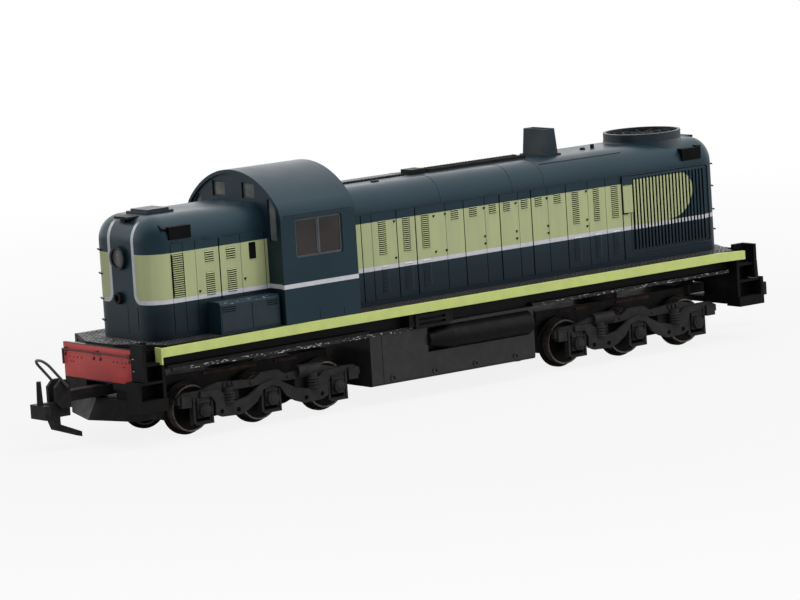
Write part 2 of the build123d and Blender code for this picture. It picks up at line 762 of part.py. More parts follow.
cab_end_depth = cab_end_recess + cab_wall
cab_room = along_x(cab_section(cab_wall), cab_rear_x + cab_end_depth, cab_front_x - cab_end_depth)
cab = cab_outer - cab_room - cab_roof
for skin, inward in ((cab_front_x, -1), (cab_rear_x, 1)):
    cab -= along_x(cab_section(cab_wall), skin, skin + inward * cab_end_recess)
end_window_top = window_head(end_window_outer_y)
end_window_low = end_window_top - end_window_height
end_window = [
    (end_window_inner_y, end_window_low),
    (end_window_outer_y, end_window_low),
    (end_window_outer_y, end_window_top),
    (end_window_inner_y, end_window_top),
]
door_outer_y = cab_half_width - door_window_setback
door_slope_y = door_outer_y - door_window_slope_width
door_window_top = window_head(door_slope_y)
door_window = [
    (door_outer_y - door_window_width, door_window_bottom_z),
    (door_outer_y, door_window_bottom_z),
    (door_outer_y, door_window_top - door_window_slope_height),
    (door_slope_y, door_window_top),
    (door_outer_y - door_window_width, door_window_top),
]
panes = []
sashes = []
x0, x1, z0, z1 = (cab_window_rear_x, cab_window_front_x, cab_window_bottom_z, cab_window_top_z)
mullion_x = (x0 + x1) / 2
cab -= rounded_window(x0, x1, z0, z1, -cab_half_width, cab_half_width, cab_window_radius)
for side in (1, -1):
    skin = side * cab_half_width
    inner = skin - side * cab_wall
    sash = rounded_window(x0, x1, z0, z1, inner, inner + side * sash_thickness, cab_window_radius)
    for left, right in ((x0, mullion_x), (mullion_x, x1)):
        sash -= block(left + sash_width, right - sash_width, inner, skin, z0 + sash_width, z1 - sash_width)
        panes.append(block(left + sash_width, right - sash_width, inner, inner + side * glass_thickness,
                           z0 + sash_width, z1 - sash_width))
    sashes.append(sash)
for outline in (end_window, door_window):
    for side in (1, -1):
        opening = make_face(Polyline(*[(side * y, z) for y, z in outline], close=True))
        cab -= along_x(opening, cab_rear_x, cab_front_x)
        for skin, inward in ((cab_front_x, -1), (cab_rear_x, 1)):
            inner = skin + inward * cab_end_depth
            panes.append(along_x(opening, inner, inner - inward * glass_thickness))
save("cab_walls", cab)
save("cab_window_sashes", *sashes)
save("cab_glass", *panes)

save("motor", block(motor_rear_x, motor_front_x, -motor_half_width, motor_half_width,
                    deck_top_z, deck_top_z + motor_height))


# ---- Couplers --------------------------------------------------------------
def coupler():
    """Shank with its pivot eye, two cheeks, cross head and horn."""
    shape = block(coupler_pivot_x, shank_end_x, -shank_half_width, shank_half_width,
                  coupler_bottom_z, coupler_top_z)
    shape += rod_z(coupler_pivot_x, 0, coupler_pad_half, coupler_bottom_z, coupler_top_z)
    shape -= rod_z(coupler_pivot_x, 0, coupler_pivot_radius + coupler_pivot_clearance,
                   coupler_bottom_z, coupler_top_z)
    cheek_start_x = shank_end_x - head_thickness
    shape += block(cheek_start_x, shank_end_x, -cheek_inner_y - cheek_thickness,
                   cheek_inner_y + cheek_thickness, cheek_bottom_z, cheek_web_top_z)
    cheek = [(cheek_start_x, cheek_bottom_z), (cheek_end_x - head_thickness, cheek_bottom_z),
             (cheek_end_x, cheek_bottom_z + head_thickness), (cheek_end_x, cheek_top_z - head_thickness),
             (cheek_end_x - head_thickness, cheek_top_z), (cheek_start_x + cheek_thickness, cheek_top_z),
             (cheek_start_x, cheek_top_z - cheek_thickness)]
    for side in (1, -1):
        shape += plate_y(cheek, side * cheek_inner_y, side * (cheek_inner_y + cheek_thickness))
    shape += block(cheek_start_x, head_front_x - head_thickness, -head_bar_half_width,
                   head_bar_half_width, head_bottom_z, cheek_bottom_z + head_thickness)
    shape += block(cheek_end_x - head_thickness, cheek_end_x, -cheek_inner_y, cheek_inner_y,
                   cheek_bottom_z, cheek_bottom_z + head_thickness)
    shape += block(head_front_x - head_thickness, head_front_x, -head_half_width, head_half_width,
                   head_bottom_z, head_bottom_z + head_height)
    head_top = head_bottom_z + head_height
    horn_x = head_front_x - head_thickness / 2
    horn = Cone(horn_low_radius, horn_high_radius, horn_height)
    shape += Pos(horn_x, 0, head_top + horn_height / 2) * horn
    for side in (1, -1):
        shape -= rod_y(loop_pivot_x, loop_pivot_z, loop_wire_radius + loop_clearance,
                       side * cheek_inner_y, side * (cheek_inner_y + cheek_thickness))
    return shape


def trip_tail():
    """Tail under the cross head, swept back towards the truck."""
    tail = [(tail_x, head_bottom_z), (tail_x, tail_knee_z), (tail_foot_x, tail_foot_z),
            (tail_foot_x, tail_foot_z - tail_thickness),
            (tail_x + tail_thickness, tail_knee_z - tail_thickness),
            (tail_x + 2 * tail_thickness, head_bottom_z)]
    return plate_y(tail, -tail_half_width, tail_half_width)


def coupler_loop():
    """Wire loop on a round pin through the cheeks."""
    shape = rod_y(loop_pivot_x, loop_pivot_z, loop_wire_radius, -loop_half_width, loop_half_width)
    tilt = Plane(origin=(loop_pivot_x, 0, loop_pivot_z), x_dir=(0, 1, 0),
                 z_dir=(-loop_reach_z, 0, loop_reach_x))
    length = (loop_reach_x ** 2 + loop_reach_z ** 2) ** 0.5
    path = FilletPolyline((loop_half_width, 0), (loop_half_width, -length),
                          (-loop_half_width, -length), (-loop_half_width, 0), radius=loop_corner_radius)
    path = tilt * path
    start = Plane(origin=path @ 0, z_dir=path % 0)
    return shape + sweep(start * Circle(loop_wire_radius), path=path)


# Only the front coupler has a trip tail and a loop
save("coupler_front", coupler() + trip_tail())
save("coupler_rear", at_end(coupler(), -1))
save("coupler_front_loop", coupler_loop())
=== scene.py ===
import json
import math

import bpy
from mathutils import Matrix, Vector


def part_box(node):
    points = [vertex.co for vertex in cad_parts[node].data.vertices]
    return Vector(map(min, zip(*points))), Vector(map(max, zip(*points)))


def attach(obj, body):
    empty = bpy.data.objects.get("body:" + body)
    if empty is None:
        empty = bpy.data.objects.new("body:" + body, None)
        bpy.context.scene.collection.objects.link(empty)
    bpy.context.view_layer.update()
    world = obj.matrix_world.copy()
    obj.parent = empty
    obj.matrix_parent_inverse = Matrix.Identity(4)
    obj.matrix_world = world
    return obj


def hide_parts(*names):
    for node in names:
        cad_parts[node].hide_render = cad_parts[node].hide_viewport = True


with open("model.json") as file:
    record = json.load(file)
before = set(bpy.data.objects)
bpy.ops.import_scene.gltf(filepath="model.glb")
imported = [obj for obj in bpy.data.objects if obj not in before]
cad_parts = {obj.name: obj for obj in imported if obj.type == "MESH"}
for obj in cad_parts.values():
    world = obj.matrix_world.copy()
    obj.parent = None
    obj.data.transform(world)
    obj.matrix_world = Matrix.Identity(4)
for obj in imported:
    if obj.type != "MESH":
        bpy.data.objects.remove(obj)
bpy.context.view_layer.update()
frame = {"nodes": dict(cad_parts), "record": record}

# Every size below is in millimetres, unless a comment says otherwise; meshes are scaled by MM.
MM = 0.001


def node_box(name):
    """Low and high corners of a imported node."""
    return [Vector(corner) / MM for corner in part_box(name)]


def node_centre(name):
    low, high = node_box(name)
    return (low + high) / 2


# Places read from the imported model, whose two long sides are alike
deck_half_x, deck_half_y, deck_top_z = node_box("deck")[1]
hood_y, hood_top_z = node_box("long_hood")[1].yz
locker_rear_x = node_box("locker_left")[0].x
locker_front_x, locker_face_y, locker_top_z = node_box("locker_left")[1]
cab_rear_x = node_box("cab_walls")[0].x
cab_front_x, cab_y = node_box("cab_walls")[1].xy
nose_x = node_box("headlight_front")[0].x
tail_x = node_box("headlight_rear")[1].x
casting_face_x = node_box("pilot_plate_front")[0].x
pilot_face_x = node_box("pilot_plate_front")[1].x
sill_face_y = node_box("sill_left")[1].y
tank_y = node_box("fuel_tank")[1].y
fan_x = node_centre("radiator_fan").x
axle_z = node_centre("truck_front_wheelset_2").z
truck_centre_x = node_centre("truck_front_wheelset_2").x
axle_spacing = node_centre("truck_front_wheelset_1").x - truck_centre_x

hood_shoulder = 5.5
# How far trim reaches into the surface that carries it
sunk = 0.05


# ---- mesh helpers
def turns(count):
    """Angles of a full turn in even steps."""
    return [2 * math.pi * k / count for k in range(count)]


def ring(centre, radius, along, across, count=14):
    """Points of a circle in the plane of two unit directions."""
    centre, along, across = Vector(centre), Vector(along), Vector(across)
    return [centre + radius * (math.cos(a) * along + math.sin(a) * across) for a in turns(count)]


class Shape:
    """Vertices and faces gathered for one joined mesh."""

    def __init__(self):
        self.verts = []
        self.faces = []

    def add(self, verts, faces):
        base = len(self.verts)
        self.verts += [tuple(v) for v in verts]
        self.faces += [tuple(base + i for i in face) for face in faces]

    def box(self, x0, x1, y0, y1, z0, z1):
        xs, ys, zs = sorted((x0, x1)), sorted((y0, y1)), sorted((z0, z1))
        corners = [(x, y, z) for x in xs for y in ys for z in zs]
        self.add(corners, [(0, 1, 3, 2), (4, 6, 7, 5), (0, 4, 5, 1),
                           (2, 3, 7, 6), (0, 2, 6, 4), (1, 5, 7, 3)])

    def pair(self, x0, x1, y0, y1, z0, z1):
        """The same box on the left and on the right."""
        for side in (1, -1):
            self.box(x0, x1, side * y0, side * y1, z0, z1)

    def plates(self, skin, rows):
        """Pairs of boxes; a row is front X, rear X, reach inside and outside the skin, low Z, high Z."""
        for front_x, rear_x, inside, outside, low_z, high_z in rows:
            self.pair(front_x, rear_x, skin - inside, skin + outside, low_z, high_z)

    def loft(self, rings, closed=False):
        """Skin a row of equal rings of points; the ends are capped unless the row is closed."""
        count = len(rings[0])
        verts = [p for row in rings for p in row]
        faces = []
        for row in range(len(rings) - (0 if closed else 1)):
            near, far = row * count, (row + 1) % len(rings) * count
            for i in range(count):
                j = (i + 1) % count
                faces.append((near + i, near + j, far + j, far + i))
        if not closed:
            faces.append(tuple(reversed(range(count))))
            last = (len(rings) - 1) * count
            faces.append(tuple(range(last, last + count)))
        self.add(verts, faces)

    def tube(self, path, radius, closed=False):
        """Six-sided wire along a path of points."""
        points = [Vector(p) for p in path]
        rings = []
        for i, p in enumerate(points):
            before = points[i - 1] if i or closed else p
            after = points[(i + 1) % len(points)] if i + 1 < len(points) or closed else p
            along = (after - before).normalized()
            if rings:
                side = (side - along * side.dot(along)).normalized()
            else:
                side = along.orthogonal().normalized()
            rings.append(ring(p, radius, side, along.cross(side), 6))
        self.loft(rings, closed)

    def lathe(self, centre, axis, profile, sides):
        """Turned form: profile holds (distance along the axis, radius)."""
        axis = Vector(axis).normalized()
        side = axis.orthogonal().normalized()
        self.loft([ring(Vector(centre) + axis * along, radius, side, axis.cross(side), sides)
                   for along, radius in profile])

    def rivet(self, centre, axis, radius):
        """Low dome."""
        dome = [(0, 1), (0.45, 0.85), (0.7, 0.4)]
        self.lathe(centre, axis, [(rise * radius, share * radius) for rise, share in dome], 8)


def add_object(name, data):
    obj = bpy.data.objects.new(name, data)
    bpy.context.scene.collection.objects.link(obj)
    return obj


def piece(name, shape, material, body="body", bevel=0.0, smooth_angle=35):
    """Make one object from a Shape, finish it and let it ride on its body."""
    mesh = bpy.data.meshes.new(name)
    mesh.from_pydata([(x * MM, y * MM, z * MM) for x, y, z in shape.verts], [], shape.faces)
    mesh.validate()
    obj = add_object(name, mesh)
    mesh.polygons.foreach_set("use_smooth", [True] * len(mesh.polygons))
    mesh.set_sharp_from_angle(angle=math.radians(smooth_angle))
    if bevel:
        edge = obj.modifiers.new("edge", "BEVEL")
        edge.width = bevel * MM
        edge.segments = 2
        edge.limit_method = "ANGLE"
    mesh.materials.append(material)
    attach(obj, body)
    return obj


def rounded_loop(x0, x1, z0, z1, radius, steps=5):
    """Corner-rounded rectangle as a closed row of points."""
    points = []
    for cx, cz, start in ((x1 - radius, z1 - radius, 0), (x0 + radius, z1 - radius, 90),
                          (x0 + radius, z0 + radius, 180), (x1 - radius, z0 + radius, 270)):
        for k in range(steps + 1):
            angle = math.radians(start + 90 * k / steps)
            points.append((cx + radius * math.cos(angle), cz + radius * math.sin(angle)))
    return points


# ---- material helpers
class Nodes:
    """Short names for building one node tree."""

    def __init__(self, owner):
        owner.use_nodes = True
        self.owner = owner
        self.tree = owner.node_tree

    def fill(self, node, inputs):
        """Give the inputs named a socket to follow, a number, a vector or a colour."""
        for key, source in inputs.items():
            target = node.inputs[key]
            if isinstance(source, tuple) and target.type == "RGBA":
                source = (*source, 1.0)
            if isinstance(source, (int, float, tuple)):
                target.default_value = source
            else:
                self.tree.links.new(source, target)

    def new(self, kind, inputs, operation=None):
        """Outputs of a new node."""
        node = self.tree.nodes.new("ShaderNode" + kind)
        if operation:
            node.operation = operation
        self.fill(node, inputs)
        return node.outputs

    def place(self, kind):
        """Coordinates of the surface point, such as Object or Generated."""
        return self.new("TexCoord", {})[kind]

    def split(self, vector):
        return self.new("SeparateXYZ", {0: vector})

    def math(self, operation, a, b=0.0):
        return self.new("Math", {0: a, 1: b}, operation)[0]

    def less(self, a, b):
        return self.math("SUBTRACT", a, b)

    def most(self, a, b):
        return self.math("MAXIMUM", a, b)

    def size(self, value):
        return self.math("ABSOLUTE", value)

    def product(self, first, *others):
        for other in others:
            first = self.math("MULTIPLY", first, other)
        return first

    def length(self, a, b):
        squares = [self.math("POWER", part, 2.0) for part in (a, b)]
        return self.math("SQRT", self.math("ADD", *squares))

    def ramp(self, value, low, high, to_low=0.0, to_high=1.0):
        return self.new("MapRange", {"Value": value, "From Min": low, "From Max": high,
                                     "To Min": to_low, "To Max": to_high})["Result"]

    def inside(self, distance, soft=0.05):
        """1 where a distance in millimetres is below zero, with a thin soft edge."""
        return self.ramp(distance, soft, -soft)

    def below(self, value, limit, soft=0.05):
        return self.inside(self.less(value, limit), soft)

    def above(self, value, limit, soft=0.05):
        return self.inside(self.less(limit, value), soft)

    def seen_by(self, first, *others):
        """1 for the named kinds of ray, 0 for the rest."""
        path = self.new("LightPath", {})
        seen = path[first]
        for other in others:
            seen = self.most(seen, path[other])
        return seen


class Surface(Nodes):
    """A new material whose main shader is filled in by finish."""

    def __init__(self, name):
        super().__init__(bpy.data.materials.new(name))
        self.bsdf = self.tree.nodes["Principled BSDF"]

    def axes(self):
        """X, Y and Z of the surface point in millimetres."""
        return self.split(self.new("VectorMath", {0: self.place("Object"), "Scale": 1 / MM}, "SCALE")[0])

    def from_middle(self, first, second):
        """Distance from the middle of the solid's box over two axes, as a share of its width."""
        spot = self.split(self.place("Generated"))
        return self.length(*(self.less(spot[axis], 0.5) for axis in (first, second)))

    def noise(self, per_mm, detail=3.0, stretch=(1, 1, 1)):
        spot = self.new("Mapping", {0: self.place("Object"), "Scale": stretch})[0]
        return self.new("TexNoise", {"Vector": spot, "Scale": per_mm / MM, "Detail": detail})[0]

    def mix(self, factor, a, b):
        node = self.tree.nodes.new("ShaderNodeMix")
        node.data_type = "RGBA"
        self.fill(node, {0: factor, 6: a, 7: b})
        return node.outputs[2]

    def patches(self, main, second, per_mm, start, full, detail=3.0):
        """One colour with soft patches of a second."""
        return self.mix(self.ramp(self.noise(per_mm, detail), start, full), main, second)

    def uneven(self, per_mm, low, high):
        """A level that wanders between two values."""
        return self.ramp(self.noise(per_mm), 0.3, 0.7, low, high)

    def bump(self, height, depth_mm, strength=1.0):
        bent = self.new("Bump", {"Height": height, "Distance": depth_mm * MM, "Strength": strength})[0]
        self.fill(self.bsdf, {"Normal": bent})

    def finish(self, colour, roughness, metallic=0.0, specular=0.15):
        self.fill(self.bsdf, {"Base Color": colour, "Roughness": roughness, "Metallic": metallic,
                              "Specular IOR Level": specular})
        return self.owner


def grey(level):
    return (level, level, level)


# ---- paints
teal = (0.0050, 0.0140, 0.0215)
teal_light = (0.0070, 0.0185, 0.0275)
# The darkest teal is painted shade, used low on the hoods
teal_shade = (0.0028, 0.0058, 0.0100)
cream = (0.365, 0.40, 0.20)
cream_dull = (0.33, 0.35, 0.195)
stripe_white = (0.50, 0.50, 0.53)
stripe_dull = (0.42, 0.42, 0.45)
lime = (0.47, 0.54, 0.17)
lime_dull = (0.42, 0.47, 0.16)
# The deeper red is painted shade, low on the pilots
red_lit = (0.56, 0.070, 0.065)
red_shaded = (0.30, 0.008, 0.009)
edge_black = grey(0.008)
# Painted shade in the gaps between the radiator slats
slat_gap_shade = (0.003, 0.005, 0.006)
bezel_black = (0.005, 0.006, 0.007)
paint_specular = 0.42
paint_tint = (0.62, 0.86, 1.0)
satin = (0.36, 0.46)
smooth_satin = (0.34, 0.44)

stripe_low_z = 28.8
band_top_z = 39.45
band_rear_x = -55.2
# Painted shade: the hoods turn darker downwards between these two heights
teal_shade_from_z = 30.5
teal_shade_full_z = 26.0
nose_start_x = 60.0
nose_middle_y = 0.5
nose_stripe_y = 3.85
nose_stripe_width = 0.95
nose_stripe_top_z = 45.9
nose_stripe_fade = 0.4
nose_corner = 2.2
bezel_step = 0.1

# The cream on the radiator slats ends in a lopsided curve
slat_curve_x = -62.0
slat_curve_z = 36.6
slat_curve_length = 10.7
slat_curve_drop = 6.9
slat_curve_rise = 4.6
slat_face_y = 11.62
slat_band_top_z = 40.1
slat_soft = 0.02

bare_sill_x = 79.2
bare_sill_top = 0.1
rubbed_depth = 0.55
rubbed_reach = 0.7
pilot_red_x = 85.75
pilot_red_top_z = 20.55
# Painted shade: the pilots' red deepens downwards and towards the left
red_lit_z = 19.5
red_shaded_z = 12.5
red_shade_slope = 0.25


def sprayed(n, colour, gloss=satin, patch=0.2):
    """Sprayed paint: a fine grain and uneven gloss."""
    n.bump(n.noise(2.6, 2.0), 0.012, 0.5)
    return n.finish(colour, n.uneven(patch, *gloss), specular=paint_specular)


def teal_surface(n, colour):
    """Sprayed paint with the cool sheen of the teal."""
    n.fill(n.bsdf, {"Specular Tint": paint_tint})
    return sprayed(n, colour, smooth_satin, 0.12)


def teal_colour(n):
    return n.patches(teal, teal_light, 0.06, 0.35, 0.7)


def slat_faces(n, y):
    """1 on the front of the radiator slats, 0 in the gaps."""
    return n.above(n.size(y), slat_face_y, slat_soft)


def slat_band(n, x, y, z, inner):
    """Cream on the slat faces alone, closed by the curve towards the hood's end."""
    along = n.math("DIVIDE", n.most(n.less(slat_curve_x, x), 0.0), slat_curve_length)
    lift = n.less(z, slat_curve_z)
    low = n.math("DIVIDE", n.math("MINIMUM", lift, 0.0), slat_curve_drop)
    high = n.math("DIVIDE", n.most(lift, 0.0), slat_curve_rise)
    up = n.math("POWER", n.size(n.math("ADD", low, high)), 2.0)
    radius = n.math("ADD", up, n.math("POWER", along, 3.0))
    shape = n.most(n.below(radius, 1.0, slat_soft), n.above(x, slat_curve_x))
    return n.product(shape, n.below(x, band_rear_x), inner, slat_faces(n, y), n.below(z, slat_band_top_z))


def livery(name, with_band=True, slats=False):
    """Teal with the pale stripe that turns up the nose and, on the hoods, the cream band above it."""
    n = Surface(name)
    x, y, z = n.axes()
    across = n.less(n.size(n.less(y, nose_middle_y)), nose_stripe_y)
    across = n.most(across, n.less(nose_start_x, x))
    above = n.less(z, stripe_low_z)

    def corner_distance(inset, radius):
        """Distance past the stripe's rounded edge, moved in by inset."""
        left = [n.most(n.less(radius + inset, part), 0.0) for part in (across, above)]
        return n.less(n.length(*left), radius)

    outer = n.inside(corner_distance(0.0, nose_corner))
    inner = n.inside(corner_distance(nose_stripe_width, nose_corner - nose_stripe_width))
    white = n.product(n.most(n.less(outer, inner), 0.0), n.below(z, nose_stripe_top_z, nose_stripe_fade))
    colour = teal_colour(n)
    if with_band:
        # Painted shade darkens the teal low on the hoods
        colour = n.mix(n.ramp(z, teal_shade_from_z, teal_shade_full_z), colour, teal_shade)
        if slats:
            band = slat_band(n, x, y, z, inner)
        else:
            band = n.product(inner, n.below(z, band_top_z), n.above(x, band_rear_x))
        streaks = n.ramp(n.noise(0.5, 3.0, (1, 1, 0.12)), 0.35, 0.75)
        colour = n.mix(band, colour, n.mix(streaks, cream, cream_dull))
    colour = n.mix(white, colour, n.patches(stripe_white, stripe_dull, 0.8, 0.4, 0.75))
    if slats:
        # Painted shade: the gaps between the radiator slats are near black
        colour = n.mix(slat_faces(n, y), slat_gap_shade, colour)
    else:
        bezel = n.most(n.above(x, nose_x + bezel_step), n.below(x, tail_x - bezel_step))
        colour = n.mix(bezel, colour, bezel_black)
    return teal_surface(n, colour)


def plain_paint(name, main, second, gloss=satin):
    """One painted colour with faint patches."""
    n = Surface(name)
    return sprayed(n, n.patches(main, second, 0.35, 0.4, 0.75), gloss)


def cut_lime(name):
    """Lime strip that is left black at its bare front end and along its top."""
    n = Surface(name)
    x, _, z = n.axes()
    painted = n.product(n.below(x, bare_sill_x), n.below(z, deck_top_z - bare_sill_top))
    return sprayed(n, n.mix(painted, edge_black, n.patches(lime, lime_dull, 0.35, 0.4, 0.75)))


def rubbed_locker(name):
    """Hood paint with pale rubbed specks along the top edge of the lockers."""
    n = Surface(name)
    _, y, z = n.axes()
    edge = n.product(n.above(z, locker_top_z - rubbed_depth, 0.1),
                     n.above(n.size(y), locker_face_y - rubbed_reach, 0.2))
    specks = n.ramp(n.noise(1.3, 5.0), 0.60, 0.66)
    return teal_surface(n, n.mix(n.product(edge, specks), teal_colour(n), (0.22, 0.24, 0.25)))


def end_paint(name):
    """Red on the outward faces of the pilots, deepened downwards by painted shade; black on their edges and
    backs.
    """
    n = Surface(name)
    x, y, z = n.axes()
    outward = n.above(n.size(x), pilot_red_x, 0.02)
    # Painted shade deepens the red downwards and towards the left
    low = n.ramp(n.less(z, n.product(y, red_shade_slope)), red_lit_z, red_shaded_z)
    red = n.mix(n.product(low, n.ramp(n.noise(0.08), 0.25, 0.5)), red_lit, red_shaded)
    painted = n.product(outward, n.below(z, pilot_red_top_z, 0.03))
    return sprayed(n, n.mix(painted, edge_black, red), smooth_satin)


# ---- other materials
# The tread plate's painted highlights come in between these distances from the middle
tread_glint_from = 77.0
tread_glint_full = 80.5
lip_near_y = 15.2
side_glass_y = 15.5
# Bright ring of the wheel's worn tread, as shares of the wheel's width
ring_inner = 0.402
ring_outer = 0.432
ring_soft = 0.004


def moulded(name, main, second, roughness=(0.42, 0.6), grain=0.02, specular=0.12):
    """Moulded plastic: fine grain, handling shine and a little dust."""
    n = Surface(name)
    n.bump(n.noise(3.4, 3.0), grain, 0.6)
    colour = n.patches(main, second, 0.5, 0.42, 0.8, 4.0)
    return n.finish(colour, n.uneven(0.3, *roughness), specular=specular)


def glinting_tread(name):
    """Tread lozenges with pale specks painted as highlights at the two ends."""
    n = Surface(name)
    at_end = n.ramp(n.size(n.axes()[0]), tread_glint_from, tread_glint_full)
    specks = n.ramp(n.noise(0.9, 4.0), 0.46, 0.6)
    colour = n.patches((0.020, 0.020, 0.021), (0.050, 0.050, 0.051), 0.5, 0.42, 0.8, 4.0)
    n.bump(n.noise(3.4, 3.0), 0.01, 0.6)
    # Pale specks painted as highlights near the ends
    colour = n.mix(n.product(at_end, specks), colour, (0.32, 0.32, 0.31))
    return n.finish(colour, n.uneven(0.3, 0.25, 0.36), specular=0.4)


def scratched_frame(name, top_z, front_x):
    """Black underframe whose lip below top_z has lost its colour in places behind front_x."""
    n = Surface(name)
    x, y, z = n.axes()
    at_lip = n.product(n.below(z, top_z, 0.1), n.above(n.size(y), lip_near_y, 0.1), n.below(x, front_x))
    worn = n.ramp(n.noise(2.6, 5.0, (0.45, 1, 1.6)), 0.60, 0.635)
    rubbed = n.mix(at_lip, n.patches(grey(0.007), (0.016, 0.015, 0.015), 0.4, 0.4, 0.8), grey(0.024))
    n.bump(n.noise(2.2, 4.0), 0.03, 0.6)
    colour = n.mix(n.product(worn, at_lip), rubbed, (0.42, 0.42, 0.41))
    return n.finish(colour, n.uneven(0.4, 0.4, 0.6), specular=0.12)


def wheel_metal(name):
    """Blackened disc with a bright ring of worn tread."""
    n = Surface(name)
    radius = n.from_middle(0, 2)
    inner, outer = (n.ramp(radius, edge - ring_soft, edge + ring_soft) for edge in (ring_inner, ring_outer))
    dull = n.patches((0.007, 0.006, 0.006), (0.015, 0.012, 0.011), 0.6, 0.4, 0.75, 4.0)
    dull = n.mix(outer, dull, (0.020, 0.015, 0.013))
    bright = n.patches((0.24, 0.22, 0.20), (0.10, 0.08, 0.07), 1.2, 0.4, 0.7)
    n.bump(n.noise(2.0, 3.0), 0.015, 0.5)
    return n.finish(n.mix(n.less(inner, outer), dull, bright), n.uneven(0.5, 0.3, 0.5), metallic=0.6)


def window_glass(name):
    """Clear glazing with its reflections and the light seen through it painted in: dark brown at the sides,
    pale grey in the end windows.
    """
    n = Surface(name)
    at_side = n.above(n.size(n.axes()[1]), side_glass_y, 0.2)
    # Painted reflection in the side windows and painted light in the end windows
    painted_side_reflection = n.patches((0.013, 0.009, 0.0085), (0.030, 0.023, 0.022), 0.15, 0.3, 0.7)
    painted_end_light = n.patches((0.21, 0.225, 0.225), (0.11, 0.12, 0.12), 0.25, 0.35, 0.65)
    n.bump(n.noise(0.25, 1.0), 0.02, 0.4)
    n.fill(n.bsdf, {"Transmission Weight": 0.12})
    return n.finish(n.mix(at_side, painted_end_light, painted_side_reflection), n.uneven(0.5, 0.04, 0.1), specular=0.5)


def lamp_lens(name):
    """Pressed clear lens over a pale reflector."""
    n = Surface(name)
    radius = n.from_middle(1, 2)
    colour = n.mix(n.ramp(radius, 0.1, 0.5), (0.10, 0.095, 0.10), (0.045, 0.043, 0.05))
    n.bump(n.math("SINE", n.product(radius, 60.0)), 0.03, 0.5)
    return n.finish(colour, n.uneven(1.0, 0.12, 0.22), specular=0.4)


mat_hood = livery("hood_livery")
mat_cab = livery("cab_livery", with_band=False)
mat_slats = livery("slat_livery", slats=True)
mat_teal = plain_paint("teal_paint", teal, teal_light)
mat_lime = plain_paint("lime_paint", lime, lime_dull)
mat_lever = plain_paint("lever_paint", (0.07, 0.012, 0.012), (0.10, 0.018, 0.018))
mat_sash = plain_paint("sash_paint", (0.055, 0.062, 0.07), (0.09, 0.095, 0.10))
# Two colours, then the range of roughness, the depth of the grain and the specular level
mat_black = moulded("black_plastic", (0.007, 0.007, 0.008), grey(0.014))
mat_tank = moulded("tank_plastic", (0.013, 0.013, 0.0135), grey(0.022), (0.3, 0.42), 0.012, 0.4)
# Near black for dark parts, also used as painted shade in slots, gaps, hole and under the raised panel
mat_black_and_shade = moulded("recess_black", grey(0.003), grey(0.005), (0.7, 0.9), 0.02, 0.03)
mat_truck = moulded("truck_plastic", (0.017, 0.017, 0.0175), (0.030, 0.029, 0.028), (0.42, 0.58))
mat_board = moulded("board_black", (0.003, 0.003, 0.0035), (0.006, 0.006, 0.007), (0.4, 0.55), 0.01, 0.06)
# Dark copper strips whose reddish patches are partly copper colour and partly painted glints
mat_copper_glints = moulded("copper_strip", (0.012, 0.006, 0.005), (0.17, 0.040, 0.020), (0.3, 0.5), 0.01, 0.3)
mat_worn = moulded("worn_edge", (0.45, 0.46, 0.46), (0.30, 0.31, 0.32))
mat_tread = glinting_tread("tread_plastic")
mat_rail = scratched_frame("frame_rail", 16.2, 90.0)


def dress_nodes():
    """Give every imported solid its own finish, or else its slot's."""
    by_slot = {
        "teal_paint": mat_teal,
        "lime_paint": mat_lime,
        "red_paint": end_paint("red_paint"),
        "black_plastic": mat_black,
        "deck_plastic": moulded("deck_plastic", (0.007, 0.007, 0.0075), (0.014, 0.014, 0.015), (0.4, 0.55)),
        "board_black": mat_board,
        "lamp_lens": lamp_lens("lamp_lens"),
        "window_glass": window_glass("window_glass"),
        "motor_metal": moulded("motor_metal", grey(0.12), (0.2, 0.19, 0.18)),
        "truck_plastic": mat_truck,
        "wheel_metal": wheel_metal("wheel_metal"),
        "coupler_plastic": moulded("coupler_plastic", (0.011, 0.011, 0.0115), (0.024, 0.023, 0.022)),
        "loop_wire": moulded("loop_wire", (0.035, 0.038, 0.042), grey(0.07), (0.3, 0.45), 0.01, 0.3),
    }
    stack = plain_paint("stack_paint", (0.010, 0.019, 0.026), (0.015, 0.025, 0.032), (0.55, 0.7))
    tube = moulded("reservoir_plastic", (0.004, 0.004, 0.0045), grey(0.008), (0.4, 0.5), 0.012)
    # The steps' black is darker than the other black plastic, as painted shade in the step wells
    step = moulded("step_plastic", (0.0035, 0.0035, 0.004), (0.0065, 0.0065, 0.007), (0.5, 0.65))
    locker = rubbed_locker("locker_paint")
    by_node = {
        "long_hood": mat_hood, "short_hood": mat_hood, "cab_walls": mat_cab, "cab_roof": mat_cab,
        "radiator_shutter_left": mat_slats, "radiator_shutter_right": mat_slats, "exhaust_stack": stack,
        "locker_left": locker, "locker_right": locker, "cab_window_sashes": mat_sash, "roof_box": mat_black,
        "frame": scratched_frame("frame_plastic", 16.8, 0.0), "sill_right": cut_lime("far_sill_paint"),
        "fuel_tank": mat_tank, "air_reservoirs": tube, "steps_front": step, "steps_rear": step,
        "uncoupling_lever_front": mat_lever, "uncoupling_lever_rear": mat_lever,
    }
    for part in frame["record"]["subparts"]:
        obj = frame["nodes"][part["node"]]
        obj.data.materials.clear()
        obj.data.materials.append(by_node.get(part["node"], by_slot[part["material_slot"]]))


# ---- hood doors
door_proud = 0.14
door_y = hood_y + door_proud
door_low_z = 22.2
door_high_z = 41.2
